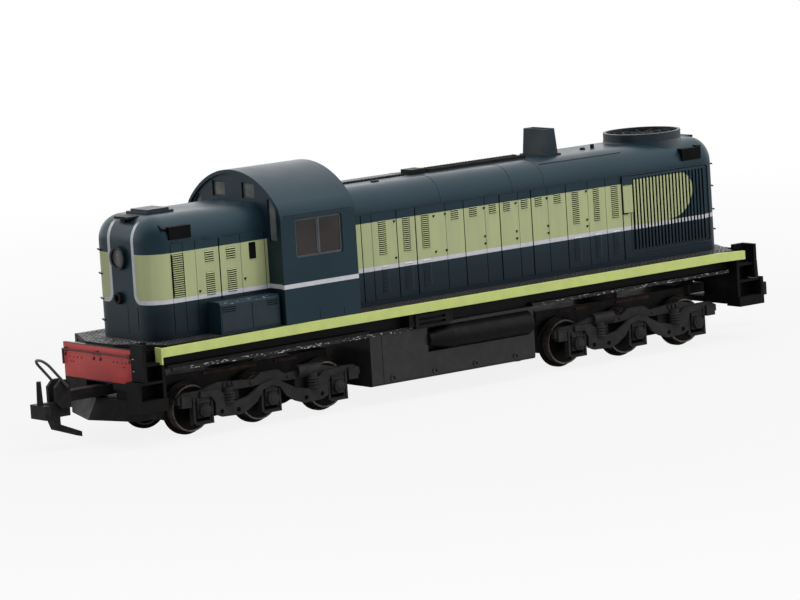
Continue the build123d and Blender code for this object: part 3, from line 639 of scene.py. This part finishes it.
# (X of the seam, its width)
long_seams = [
    (27.6, 0.3), (22.6, 0.22), (19.7, 0.16), (12.8, 0.24), (7.6, 0.3), (-0.85, 0.12), (-6.0, 0.22),
    (-12.0, 0.12), (-16.2, 0.3), (-21.6, 0.12), (-25.3, 0.3), (-30.1, 0.12), (-35.4, 0.22),
    (-41.8, 0.12), (-47.0, 0.16), (-51.9, 0.3), (-55.0, 0.1),
]
short_seams = [(73.1, 0.1), (70.0, 0.1), (66.8, 0.14), (60.6, 0.3), (55.0, 0.14), (48.6, 0.2)]
# Seams this wide or wider get a black backing as painted shade
dark_seam_from = 0.2
dark_seam_proud = 0.03


def doors(seams, name):
    """Raised door panels with open seams; the wide seams are backed with black as painted shade in the gaps.
    """
    panels, gaps = Shape(), Shape()
    for (front_x, front_gap), (rear_x, rear_gap) in zip(seams, seams[1:]):
        panels.pair(front_x - front_gap / 2, rear_x + rear_gap / 2, hood_y - sunk, door_y,
                    door_low_z, door_high_z)
    for x, gap in seams:
        if gap >= dark_seam_from:
            gaps.pair(x - gap / 2, x + gap / 2, hood_y - sunk, hood_y + dark_seam_proud,
                      door_low_z, door_high_z)
    piece(f"{name}_doors", panels, mat_hood, bevel=0.035)
    piece(f"{name}_door_gap_shade", gaps, mat_black_and_shade)


# ---- louvres
louvre_pitch = 0.44
louvre_proud = 0.22
# Height of a louvre's foot above its slot's foot, as a share of the pitch
louvre_foot = 0.42
# The dark slots behind the louvres are painted shade
slot_depth = 0.1
slot_proud = 0.02
ladder_x = (73.1, 69.9)
ladder_z = (29.9, 39.1)
ladder_rungs = 20
rung_foot = 0.25
rung_inset = 0.3
rung_proud = 0.16
rung_height = 0.22
# Low Z and high Z, then (front X, rear X) of each column
louvre_columns = [
    (32.1, 39.6, (17.9, 15.8), (11.2, 9.1), (6.0, 3.8), (-37.2, -39.1), (-43.4, -45.1), (-48.7, -50.7)),
    (23.5, 29.6, (17.5, 15.7), (11.2, 9.1), (6.0, 3.9)),
    (37.4, 39.6, (-2.4, -4.5), (-7.6, -9.7), (-13.2, -15.2), (-17.3, -19.2), (-22.4, -24.3),
     (-26.4, -28.4), (-31.9, -33.9)),
    (23.5, 29.2, (-37.2, -39.1), (-43.4, -45.1), (-48.7, -50.7)),
    (36.5, 38.9, (64.4, 62.1), (58.8, 56.4)),
    (29.4, 34.3, (64.4, 62.1), (58.8, 56.4)),
]


def louvres():
    """Pressed louvres, each a sloping hood, and the ladder of flat bars; dark slots back the upper ones as
    painted shade.
    """
    hoods, slots = Shape(), Shape()
    slot_y = (door_y - slot_depth, door_y + slot_proud)
    for low_z, high_z, *columns in louvre_columns:
        count = round((high_z - low_z) / louvre_pitch)
        pitch = (high_z - low_z) / count
        for front_x, rear_x in columns:
            # Dark slots behind the upper louvres are painted shade
            if low_z > stripe_low_z:
                slots.pair(front_x, rear_x, *slot_y, low_z, high_z)
            for number in range(count):
                foot = low_z + (number + louvre_foot) * pitch
                head = low_z + (number + 1) * pitch
                section = [(door_y - sunk, head), (door_y + louvre_proud, foot), (door_y - sunk, foot)]
                for side in (1, -1):
                    hoods.loft([[(x, side * y, z) for y, z in section[::side]] for x in (rear_x, front_x)])
    slots.pair(*ladder_x, *slot_y, *ladder_z)
    for number in range(ladder_rungs):
        foot = ladder_z[0] + (number + rung_foot) * (ladder_z[1] - ladder_z[0]) / ladder_rungs
        hoods.pair(ladder_x[0] - rung_inset, ladder_x[1] + rung_inset, door_y - sunk, door_y + rung_proud,
                   foot, foot + rung_height)
    piece("louvre_hoods", hoods, mat_hood)
    piece("louvre_slot_shade", slots, mat_black_and_shade)


# ---- latches and trim
latch_half = 0.21
latch_dome = 0.231
latch_proud = 0.3
latch_bar_z = (0.1, 0.3)
# (X, Z) of the small latches and stops on the hoods
latch_places = [
    (13.5, 38.9), (2.5, 38.7), (-0.7, 38.8), (13.5, 30.9), (2.4, 30.8), (-0.6, 30.8), (-11.7, 38.8),
    (-11.6, 32.5), (-11.6, 30.9), (-20.8, 38.8), (-20.7, 32.5), (-20.7, 30.9), (-29.8, 38.8),
    (-29.8, 32.6), (-29.8, 31.0), (-41.3, 39.0), (-41.2, 32.6), (-41.2, 31.1), (54.3, 31.6),
    (66.2, 30.4),
]
# Rows for Shape.plates: front X, rear X, reach inside the skin, reach outside it, low Z, high Z
ledges = [(x0, x1, 0.1, 0.25, 41.45, 41.6) for x0, x1 in ((72.8, 70.2), (64.6, 62.0), (59.0, 56.2))]
door_moulding = [(27.4, -54.8, 0.1, 0.16, 41.32, 41.44)]
blank_plates = [(52.8, 51.1, 0.0, 0.15, 35.7, 39.2)]
latched_panels = [(-52.05, -54.8, sunk, 0.3, 32.8, 39.0)]
# Painted shadow: black strips at the left and bottom of the raised panel
latched_shadow_rows = [(-51.75, -52.1, sunk, 0.2, 32.5, 39.1), (-51.75, -53.4, sunk, 0.2, 32.5, 32.8)]
# (rear X, front X, low Z, high Z, corner radius) of the bead round the radiator
bead_outline = (-77.9, -54.3, 23.5, 41.2, 0.8)
bead_proud = 0.12
bead_radius = 0.14


def hood_trim():
    """Latches, rain ledges, the door-top moulding, two small plates and the bead round the radiator."""
    latches, trim, plates, panels, edges = (Shape() for _ in range(5))
    for x, z in latch_places:
        for side in (1, -1):
            latches.rivet((x, side * door_y, z), (0, side, 0), latch_dome)
        latches.pair(x - latch_half, x + latch_half, door_y, door_y + latch_proud,
                     *(z + rise for rise in latch_bar_z))
    trim.plates(hood_y, ledges + door_moulding)
    plates.plates(door_y, blank_plates)
    panels.plates(door_y, latched_panels)
    # Black strips painted as the raised panel's shadow
    edges.plates(door_y, latched_shadow_rows)
    for side in (1, -1):
        bead = [(x, side * (hood_y + bead_proud), z) for x, z in rounded_loop(*bead_outline)]
        trim.tube(bead, bead_radius, True)
    piece("door_latches", latches, mat_black)
    piece("hood_ledges", trim, mat_teal, bevel=0.03)
    piece("latched_panels", panels, mat_hood, bevel=0.04)
    piece("latched_panel_shadows", edges, mat_black_and_shade)
    piece("blank_plates", plates, mat_board, bevel=0.03)


seam_half = 0.08
seam_proud = 0.06
seam_foot_z = door_high_z + 0.3
seam_steps = 10
seam_depth = 0.25
seam_inner_share = 0.97
roof_seams = [0.0, -20.4, -29.6]
# The two long edges of the roof hatch
hatch_x = (-30.4, -54.2)
hatch_line_z = 46.3
hatch_line_half = 0.12
hatch_line_inner = 0.2


def roof_bands():
    """Narrow lapped seams across the long hood and the two long edges of the roof hatch."""
    bands = Shape()
    radius = hood_shoulder + seam_proud
    path = [(hood_y + seam_proud, seam_foot_z)]
    for angle in (math.pi / 2 * k / seam_steps for k in range(seam_steps + 1)):
        path.append((hood_y - hood_shoulder + radius * math.cos(angle),
                     hood_top_z - hood_shoulder + radius * math.sin(angle)))
    path += [(-y, z) for y, z in reversed(path)]
    outline = path + [(y * seam_inner_share, z - seam_depth) for y, z in reversed(path)]
    for x in roof_seams:
        bands.loft([[(end_x, y, z) for y, z in outline] for end_x in (x - seam_half, x + seam_half)])
    rise = hatch_line_z - (hood_top_z - hood_shoulder)
    line_y = hood_y - hood_shoulder + math.sqrt(hood_shoulder ** 2 - rise ** 2)
    low_z, high_z = hatch_line_z - hatch_line_half, hatch_line_z + hatch_line_half
    for y in (line_y, -line_y):
        bands.box(*hatch_x, y - hatch_line_inner, y + math.copysign(hatch_line_half, y), low_z, high_z)
    piece("roof_seams", bands, mat_teal)


# ---- roof fittings
walk_pitch = 0.9
ridge_x = (23.2, 1.8)
ridge_first_x = 23.0
ridge_pitch = 0.95
ridge_cleats = 23
# Half length, low Y, high Y and rise of a cleat
walk_cleat = (0.14, 0.6, 2.0, 0.3)
ridge_cleat = (0.16, -0.7, 0.7, 0.34)
# Low Y, high Y and the two heights of a rail over its walk or roof
walk_rail = (1.95, 2.12, -0.3, 0.2)
ridge_rail = (0.5, 0.75, -sunk, 0.2)
# X, Y and Z ranges of the square lugs, with heights over the roof
square_lugs = [(11.8, 13.4, 3.6, 4.6, -sunk, 0.3), (25.2, 26.6, -0.6, 0.6, 0.1, 0.5)]
# (X, profile of distance up and radius) of the round lugs, which stand a little to the left
round_lugs = [(-49.6, [(-0.1, 0.7), (0.25, 0.65), (0.45, 0.4)]),
              (-52.5, [(-0.1, 0.5), (0.7, 0.45), (0.9, 0.45)])]
round_lug_y = 1.0


def roof_fittings():
    """Cleats and rails of the roof walk, the ridge strip ahead of it and small lifting lugs."""
    cleats, lugs = Shape(), Shape()
    walk_low, walk_high = node_box("roof_walk")
    walk_x = (walk_low.x, walk_high.x)

    def cleat(add, x, base, half, low_y, high_y, rise):
        add(x - half, x + half, low_y, high_y, base - sunk, base + rise)

    for number in range(int((walk_x[1] - walk_x[0]) / walk_pitch)):
        cleat(cleats.pair, walk_x[1] - (number + 0.5) * walk_pitch, walk_high.z, *walk_cleat)
    for number in range(ridge_cleats):
        cleat(cleats.box, ridge_first_x - number * ridge_pitch, hood_top_z, *ridge_cleat)
    for ends, base, rail in ((walk_x, walk_high.z, walk_rail), (ridge_x, hood_top_z, ridge_rail)):
        cleats.pair(*ends, *rail[:2], *(base + z for z in rail[2:]))
    for *flat, foot, top in square_lugs:
        lugs.box(*flat, hood_top_z + foot, hood_top_z + top)
    for x, profile in round_lugs:
        lugs.lathe((x, round_lug_y, hood_top_z), (0, 0, 1), profile, 12)
    piece("roof_walk_cleats", cleats, mat_black)
    piece("roof_lugs", lugs, mat_black, bevel=0.05)


grille_z = 48.95
grille_radii = [2.4, 4.4, 6.4, 8.1]
grille_wire = 0.1
grille_spokes = 12
spoke_wire = 0.09
spoke_reach = (1.0, 8.25)
fan_steps = 48
# (radius, Z) round the flared foot of the fan shroud
skirt_section = [(9.6, 45.2), (8.95, 47.6), (8.75, 47.6), (9.35, 45.2)]


def fan_grille():
    """Ringed guard just inside the fan's rim, and the flared skirt round its foot."""
    guard, skirt = Shape(), Shape()

    def around(radius, angle, z):
        return (fan_x + radius * math.cos(angle), radius * math.sin(angle), z)

    for radius in grille_radii:
        guard.tube([around(radius, a, grille_z) for a in turns(fan_steps)], grille_wire, True)
    for angle in turns(grille_spokes):
        guard.tube([around(radius, angle, grille_z) for radius in spoke_reach], spoke_wire)
    skirt.loft([[around(radius, a, z) for radius, z in skirt_section] for a in turns(fan_steps)], True)
    piece("fan_guard", guard, mat_black)
    piece("fan_skirt", skirt, mat_teal)


# ---- tread plate
tread_pitch = 0.64
tread_half_length = 0.25
tread_half_width = 0.1
tread_rise = 0.07
tread_crest = 0.4
# Clearances of the lozenges' middles: from the deck's edges and the sides of what stands on it, then from
# the ends of what stands on it
tread_side_gap = 0.45
tread_end_gap = 0.3
# The deck's corners are cut off between these two points
deck_corner_x = 79.5
deck_corner_y = 5.2
# (rear X, front X, half width) of what stands on the deck
deck_blocks = [(tail_x, nose_x, hood_y), (cab_rear_x, cab_front_x, cab_y),
               (locker_rear_x, locker_front_x, locker_face_y)]


def on_walkway(x, y):
    """True on the open parts of the deck."""
    x_size, y_size = abs(x), abs(y)
    if y_size > deck_half_y - tread_side_gap or x_size > deck_half_x - tread_side_gap:
        return False
    corner_length = deck_half_x - deck_corner_x
    past_corner = (x_size - deck_corner_x) / corner_length
    outward = (y_size - deck_corner_y) / (deck_half_y - deck_corner_y)
    if past_corner > 0 and past_corner + outward > 1 - tread_side_gap / corner_length:
        return False
    return not any(rear_x - tread_end_gap < x < front_x + tread_end_gap and y_size < half_y + tread_side_gap
                   for rear_x, front_x, half_y in deck_blocks)


def tread_plate():
    """Raised lozenges over the walkways, turned alternately."""
    shape = Shape()
    for i in range(int(2 * deck_half_x / tread_pitch) + 1):
        for j in range(int(2 * deck_half_y / tread_pitch) + 1):
            x = (i + 0.5) * tread_pitch - deck_half_x
            y = (j + 0.5) * tread_pitch - deck_half_y
            if not on_walkway(x, y):
                continue
            turn = math.pi / 4 if (i + j) % 2 else -math.pi / 4
            long_x, long_y = tread_half_length * math.cos(turn), tread_half_length * math.sin(turn)
            wide_x, wide_y = -tread_half_width * math.sin(turn), tread_half_width * math.cos(turn)
            foot = [(x + end * dx, y + end * dy, deck_top_z)
                    for end in (1, -1) for dx, dy in ((long_x, long_y), (wide_x, wide_y))]
            crest = [(x + end * long_x, y + end * long_y, deck_top_z + tread_rise)
                     for end in (tread_crest, -tread_crest)]
            shape.add(foot + crest, [(0, 1, 4), (1, 2, 5, 4), (2, 3, 5), (3, 0, 4, 5)])
    piece("tread_plate", shape, mat_tread, smooth_angle=20)


# ---- sill
# (X, drop) along the left sill, whose painted strip sinks a little at both ends
sill_drops = [(-82.5, 0.35), (-75.5, 0.0), (40.0, 0.0), (81.2, 0.35)]
sill_strip_z = (19.05, 21.15)
# Share of the drop that the strip's lower edge follows
sill_low_share = 0.6
# The plate's low and high X, Y and Z
sill_plate = (81.22, 81.65, 15.3, sill_face_y, 17.35, 20.9)


def near_sill():
    """Left sill: a slim strip and the plate that faces forward at its front end."""
    shape = Shape()
    rings = []
    for x, drop in sill_drops:
        low, high = sill_strip_z[0] - sill_low_share * drop, sill_strip_z[1] - drop
        rings.append([(x, deck_half_y, low), (x, sill_face_y, low),
                      (x, sill_face_y, high), (x, deck_half_y, high)])
    shape.loft(rings)
    shape.box(*sill_plate)
    strip = piece("sill_left_strip", shape, mat_lime, bevel=0.04)
    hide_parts("sill_left")


# ---- lockers
# Rows for Shape.plates
locker_door_plates = [(64.1, 56.35, sunk, 0.1, 21.7, 27.3), (56.05, 49.1, sunk, 0.1, 21.7, 27.3)]
# (front X, rear X) of the groups of louvres under the locker's top edge
locker_louvres = [(63.8, 60.4), (52.2, 49.4)]
locker_louvre_top_z = 27.1
locker_louvre_pitch = 0.45
locker_louvre_height = 0.14
locker_louvre_proud = 0.22
# The black slot under each locker louvre is painted shade
locker_slot_height = 0.16
locker_slot_proud = 0.13


def locker_trim():
    """Doors and short louvres of the side lockers, with a black slot under each louvre as painted shade."""
    slots, panels = Shape(), Shape()
    panels.plates(locker_face_y, locker_door_plates)
    for x0, x1 in locker_louvres:
        for number in range(3):
            top = locker_louvre_top_z - number * locker_louvre_pitch
            foot = top - locker_louvre_height
            panels.pair(x0, x1, locker_face_y, locker_face_y + locker_louvre_proud, foot, top)
            # Black slot under each louvre, painted shade
            slots.pair(x0, x1, locker_face_y, locker_face_y + locker_slot_proud,
                       foot - locker_slot_height, foot)
    piece("locker_doors", panels, mat_teal, bevel=0.03)
    piece("locker_slot_shade", slots, mat_black_and_shade)


# ---- cab
# Rows for Shape.plates; the window bars stand back from the cab's side, so their outer reach is negative
drip_rails = [(47.2, 29.2, sunk, 0.14, 44.35, 44.6), (46.9, 29.5, sunk, 0.08, 43.9, 44.05)]
window_bars = [(38.35, 38.15, 0.6, -0.25, 35.3, 43.2), (44.45, 32.05, 0.5, -0.3, 43.15, 43.3),
               (44.35, 44.2, 0.5, -0.3, 35.2, 43.3)]
cab_seams = [(39.35, 39.25, 0.0, 0.012, 21.4, 23.4), (32.8, 32.7, 0.0, 0.012, 21.4, 23.2)]
# The end windows' X, and their outline: low Y, high Y, low Z, high Z, corner radius
end_window_x = (47.3, 29.3)
end_window_outline = (3.3, 7.4, 48.0, 50.9, 0.5)
window_wire = 0.13


def cab_trim():
    """Drip rails, window frames and the low panel seams."""
    trim, frames, seams = Shape(), Shape(), Shape()
    trim.plates(cab_y, drip_rails)
    frames.plates(cab_y, window_bars)
    seams.plates(cab_y, cab_seams)
    for x in end_window_x:
        for side in (1, -1):
            outline = [(x, side * y, z) for y, z in rounded_loop(*end_window_outline)]
            frames.tube(outline, window_wire, True)
    piece("cab_drip_rails", trim, mat_teal, bevel=0.03)
    piece("cab_window_frames", frames, mat_sash)
    piece("cab_seams", seams, mat_black_and_shade)


# ---- hood ends
grab_radius = 0.16
grab_half = 1.0
grab_stand = 0.3
grab_levels = [39.8, 34.7, 29.3, 24.7]
grab_angle = math.radians(24)
# (direction, X of the face, radius of the upright corners, lift of the grab irons)
hood_ends = [(1, nose_x, 5.2, 0.0), (-1, tail_x, 3.7, 1.0)]
fitting_sunk = 0.1
fitting_y = 0.9
fitting_z = 29.85
fitting_profile = [(0, 1.3), (0.9, 1.3), (1.0, 1.2), (1.0, 0.75), (0.3, 0.7)]
# (Y, height above the end's own Z) round the front board's bracket, and (X, Z) of its two ends
bracket_section = [(9.4, 0.55), (10.8, -0.2), (10.8, -0.5), (9.4, 0.2)]
bracket_ends = [(74.7, 45.1), (73.3, 44.8)]
rear_bracket = (-75.3, -76.8, 9.6, 10.8, 45.3, 45.7)
nose_seam_proud = 0.02
# (Y, width, low Z, high Z) of the upright seams low on the nose
nose_seams = [(5.4, 0.2, 23.6, 28.2), (1.7, 0.1, 22.6, 28.2)]


def end_fittings():
    """Grab irons on both hood ends, the ring fittings, the board brackets and the nose seams."""
    grabs, dark, lines = Shape(), Shape(), Shape()
    cosine, sine = math.cos(grab_angle), math.sin(grab_angle)
    for end, face_x, radius, lift in hood_ends:
        grab_x = face_x - end * radius * (1 - cosine)
        grab_y = -end * (hood_y - radius * (1 - sine))
        out = Vector((end * cosine, -end * sine, 0))
        along = grab_half * Vector((-out.y, out.x, 0))
        for z in grab_levels:
            foot = Vector((grab_x, grab_y, z + lift))
            bar = foot + grab_stand * out
            grabs.tube([foot - along, bar - along, bar + along, foot + along], grab_radius)
        dark.lathe((face_x - end * fitting_sunk, -end * fitting_y, fitting_z), (end, 0, 0),
                   fitting_profile, 20)
    dark.loft([[(x, y, z + rise) for y, rise in bracket_section] for x, z in bracket_ends])
    dark.pair(*rear_bracket)
    for y, width, low_z, high_z in nose_seams:
        lines.box(nose_x - sunk, nose_x + nose_seam_proud, y - width / 2, y + width / 2, low_z, high_z)
    piece("nose_seams", lines, mat_black_and_shade)
    piece("end_grab_irons", grabs, mat_black)
    piece("end_ring_fittings", dark, mat_black, bevel=0.03)


# ---- pilots
# Places on the front end as (Y, Z); the rear end has them turned about
rivet_radius = 0.2
rivet_places = [
    (-10.5, 17.7), (-9.0, 17.6), (-7.7, 17.6), (-6.1, 17.7), (-10.0, 16.7), (-9.2, 16.7), (5.7, 17.7),
    (7.1, 17.7), (8.9, 17.7), (10.3, 17.7),
]
bolt_radius = 0.42
bolt_places = [(-1.5, 19.1), (1.0, 19.1), (-1.5, 17.9), (1.0, 17.9), (-12.1, 18.1), (11.7, 18.1)]
# A flat black box on the casting's face is painted shade standing for a hole
hole_x = (casting_face_x - 0.02, casting_face_x + 0.03)
hole_y = (-6.6, -4.9)
hole_z = (10.4, 12.1)
pilot_slot_y = (9.0, 10.0)
pilot_slot_z = (16.7, 16.9)
pilot_slot_proud = 0.1
# The worn edges stand ahead of the pilot's face by these two distances
worn_step_x = (0.35, 0.45)
worn_step_y = (13.3, 13.9)
worn_step_levels = [18.9, 16.3, 13.9]
worn_step_half = 0.08


def pilot_trim():
    """Rivets, bolts, a small slot, a flat black patch painted as the shade of a hole, and worn step edges on
    both ends.
    """
    dark, worn, holes = Shape(), Shape(), Shape()
    for end in (1, -1):
        face = end * pilot_face_x
        holes.box(*(end * x for x in hole_x), *(end * y for y in hole_y), *hole_z)
        for radius, places in ((rivet_radius, rivet_places), (bolt_radius, bolt_places)):
            for y, z in places:
                dark.rivet((face, end * y, z), (end, 0, 0), radius)
        dark.box(face, face + end * pilot_slot_proud, *(end * y for y in pilot_slot_y), *pilot_slot_z)
        for z in worn_step_levels:
            worn.box(*(face + end * x for x in worn_step_x), *(end * y for y in worn_step_y),
                     z - worn_step_half, z + worn_step_half)
    piece("pilot_hole_shade", holes, mat_black_and_shade)
    piece("pilot_rivets", dark, mat_lever)
    piece("worn_step_edges", worn, mat_worn)


# ---- trucks
side_frame_y = 14.0
equaliser_y = 14.7
back_y = (12.58, 12.78)
spring_x = 11.2
spring_y = 14.2
spring_radius = 1.28
spring_wire = 0.22
spring_low_z = 6.7
spring_pitch = 0.62
spring_rings = 4
# (distance from the truck's middle, Y, Z)
truck_bolts = [(9.0, equaliser_y, 4.7), (13.3, equaliser_y, 4.9), (22.3, side_frame_y, 8.8)]
truck_bolt_profile = [(-0.05, 0.5), (0.12, 0.45)]
knob_x = 4.9
knob_z = 9.7
knob_radius = 0.4
axle_cap_y = 15.25
axle_cap_profile = [(0, 1.0), (0.2, 0.95), (0.3, 0.5)]
# Rows of low X, high X, low Y, high Y, low Z, high Z, measured in X from the truck's middle, for both of its
# halves, or from each axle
half_plates = [(x - 0.25, x + 0.25, 13.9, 14.35, 9.9, 10.8) for x in (9.7, 10.9, 12.1)]
half_backs = [(3.4, 15.2, *back_y, 4.4, 9.4)]
axle_plates = [(-1.7, 1.7, 14.2, 14.6, 7.3, 7.7), (-2.6, -2.1, 13.9, 14.3, 2.7, 8.6),
               (2.1, 2.6, 13.9, 14.3, 2.7, 8.6), (-2.6, 2.6, 13.9, 14.3, 2.7, 3.1)]
axle_backs = [(-2.3, 2.3, *back_y, 3.0, 8.8)]
# (front X, rear X) of the copper contact strips along the gear housings
strip_places = {"truck_front": [(63.0, 49.0), (44.0, 38.0)],
                "truck_rear": [(-36.0, -39.0), (-41.0, -45.0), (-53.0, -63.0)]}
strip_y = (5.3, 5.7)
strip_z = (11.7, 12.3)


def truck_trim(end, body):
    """Coil springs, bolts, hangers and cap screws on both side frames of one truck."""
    shape, backs, bolts, strips = (Shape() for _ in range(4))
    centre = end * truck_centre_x
    axles = [centre + step * axle_spacing for step in (-1, 0, 1)]
    for target, half_rows, axle_rows in ((shape, half_plates, axle_plates), (backs, half_backs, axle_backs)):
        for x0, x1, *rest in half_rows:
            for half in (-1, 1):
                target.pair(centre + half * x0, centre + half * x1, *rest)
        for x0, x1, *rest in axle_rows:
            for x in axles:
                target.pair(x + x0, x + x1, *rest)
    for side in (1, -1):
        out = (0, side, 0)
        for half in (-1, 1):
            for number in range(spring_rings):
                middle = (centre + half * spring_x, side * spring_y, spring_low_z + number * spring_pitch)
                shape.tube(ring(middle, spring_radius, (1, 0, 0), out), spring_wire, True)
            for x, y, z in truck_bolts:
                bolts.lathe((centre + half * x, side * y, z), out, truck_bolt_profile, 12)
            shape.rivet((centre + half * knob_x, side * side_frame_y, knob_z), out, knob_radius)
        for x in axles:
            shape.lathe((x, side * axle_cap_y, axle_z), out, axle_cap_profile, 18)
    for x0, x1 in strip_places[body]:
        strips.pair(x0, x1, *strip_y, *strip_z)
    piece(f"{body}_trim", shape, mat_truck, body, bevel=0.03)
    piece(f"{body}_backs", backs, mat_black_and_shade, body)
    piece(f"{body}_bolts", bolts, mat_black_and_shade, body)
    piece(f"{body}_strips", strips, mat_copper_glints, body)


# ---- underframe
tank_seam_x = (21.9, 22.1)
tank_seam_z = (4.9, 15.9)
tank_trim_y = tank_y + 0.1
lug_places = [-14.9, -3.5, 7.9, 19.6]
lug_z = 5.6
lug_radius = 0.55
lug_wire = 0.18
front_rail = (13.5, 77.7, 14.9, 15.55, 15.25, 16.05)


def tank_trim():
    """Seam and ring lugs of the fuel tank, and the pressed lips along the front half of the frame."""
    shape, rail = Shape(), Shape()
    shape.pair(*tank_seam_x, tank_y, tank_trim_y, *tank_seam_z)
    for x in lug_places:
        for side in (1, -1):
            lug = ring((x, side * tank_trim_y, lug_z), lug_radius, (1, 0, 0), (0, 0, 1))
            shape.tube(lug, lug_wire, True)
    rail.pair(*front_rail)
    piece("tank_trim", shape, mat_tank, bevel=0.03)
    piece("front_rails", rail, mat_rail, bevel=0.03)


# ---- camera, floor and light
camera_place = (642.62, 830.06, 160.2)
camera_yaw = -127.551
camera_pitch = -7.6434
camera_roll = -3.6184
focal_pixels = 4772.8
image_width = 800
sensor_width = 36.0

# Floor and lamps, in metres
eye_rays = ("Is Camera Ray", "Is Transmission Ray")
floor_half = 3.0
floor_grey = (0.38, 0.38, 0.375)
floor_near = 0.13
floor_far = 0.42
floor_white_near = 0.86
floor_white_far = 1.0
world_horizon = 0.42
world_zenith = 0.90
# Reflections see a bright room that dims towards this side
dim_side = (0.61, 0.79, 0.0)
dim_from = 0.15
dim_full = 0.65
dim_level = 0.2
bright_level = 1.6
# (name, place, size, power in watts)
lamps = [("top_light", (-0.1, 0.45, 1.1), 0.8, 9.0), ("front_light", (1.1, 0.6, 0.35), 0.5, 0.7),
         ("side_light", (-0.4, 1.2, 0.4), 0.6, 3.6)]
lamp_aim = (0, 0, 0.025)


def add_camera():
    """Camera at the measured viewpoint."""
    yaw, pitch, roll = (math.radians(a) for a in (camera_yaw, camera_pitch, camera_roll))
    forward = Vector((math.cos(pitch) * math.cos(yaw), math.cos(pitch) * math.sin(yaw), math.sin(pitch)))
    right = forward.cross(Vector((0, 0, 1))).normalized()
    up = right.cross(forward)
    right, up = (math.cos(roll) * right + math.sin(roll) * up, -math.sin(roll) * right + math.cos(roll) * up)
    data = bpy.data.cameras.new("camera")
    data.sensor_width = sensor_width
    data.sensor_fit = "HORIZONTAL"
    data.lens = sensor_width * focal_pixels / image_width
    data.clip_start = 0.01
    data.clip_end = 20
    data.dof.use_dof = False
    obj = add_object("camera", data)
    axes = Matrix((right, up, -forward)).transposed().to_4x4()
    obj.matrix_world = Matrix.Translation(Vector(camera_place) * MM) @ axes
    bpy.context.scene.camera = obj


def add_floor():
    """Pale floor that shows white and keeps the object's shadow."""
    mesh = bpy.data.meshes.new("floor")
    mesh.from_pydata([(x * floor_half, y * floor_half, 0) for x, y in ((-1, -1), (1, -1), (1, 1), (-1, 1))],
                     [], [(0, 1, 2, 3)])
    floor = add_object("floor", mesh)
    n = Nodes(bpy.data.materials.new("floor"))
    n.tree.nodes.clear()
    distance = n.new("VectorMath", {0: n.place("Object")}, "LENGTH")["Value"]
    fade = n.ramp(distance, floor_near, floor_far, floor_white_near, floor_white_far)
    diffuse = n.new("BsdfDiffuse", {"Color": floor_grey})[0]
    glow = n.new("Emission", {"Color": (1, 1, 1)})[0]
    mixed = n.new("MixShader", {0: n.product(n.seen_by(*eye_rays), fade), 1: diffuse, 2: glow})[0]
    n.new("OutputMaterial", {"Surface": mixed})
    mesh.materials.append(n.owner)


def add_world():
    """White for the eye, a grey sky that brightens upwards for the light, a half-dim room for reflections."""
    n = Nodes(bpy.data.worlds.new("world"))
    bpy.context.scene.world = n.owner
    direction = n.place("Generated")
    sky = n.ramp(n.split(direction)["Z"], 0.0, 1.0, world_horizon, world_zenith)
    ahead = n.new("VectorMath", {0: direction, 1: dim_side}, "DOT_PRODUCT")["Value"]
    room = n.ramp(ahead, dim_from, dim_full, bright_level, dim_level)
    light = n.ramp(n.seen_by("Is Glossy Ray"), 0.0, 1.0, sky, room)
    level = n.ramp(n.seen_by(*eye_rays), 0.0, 1.0, light, 1.0)
    n.fill(n.tree.nodes["Background"], {"Color": (1, 1, 1), "Strength": level})


def add_lamps():
    """Soft studio lamps aimed at the middle of the object."""
    for name, place, size, power in lamps:
        data = bpy.data.lights.new(name, "AREA")
        data.size = size
        data.energy = power
        obj = add_object(name, data)
        obj.location = place
        obj.visible_glossy = False
        obj.rotation_euler = (Vector(lamp_aim) - Vector(place)).to_track_quat("-Z", "Y").to_euler()


dress_nodes()
doors(long_seams, "long_hood")
doors(short_seams, "short_hood")
louvres()
hood_trim()
roof_bands()
roof_fittings()
fan_grille()
tread_plate()
near_sill()
locker_trim()
cab_trim()
end_fittings()
pilot_trim()
truck_trim(1, "truck_front")
truck_trim(-1, "truck_rear")
tank_trim()
add_camera()
add_floor()
add_world()
add_lamps()
bpy.context.scene.view_settings.view_transform = "Standard"
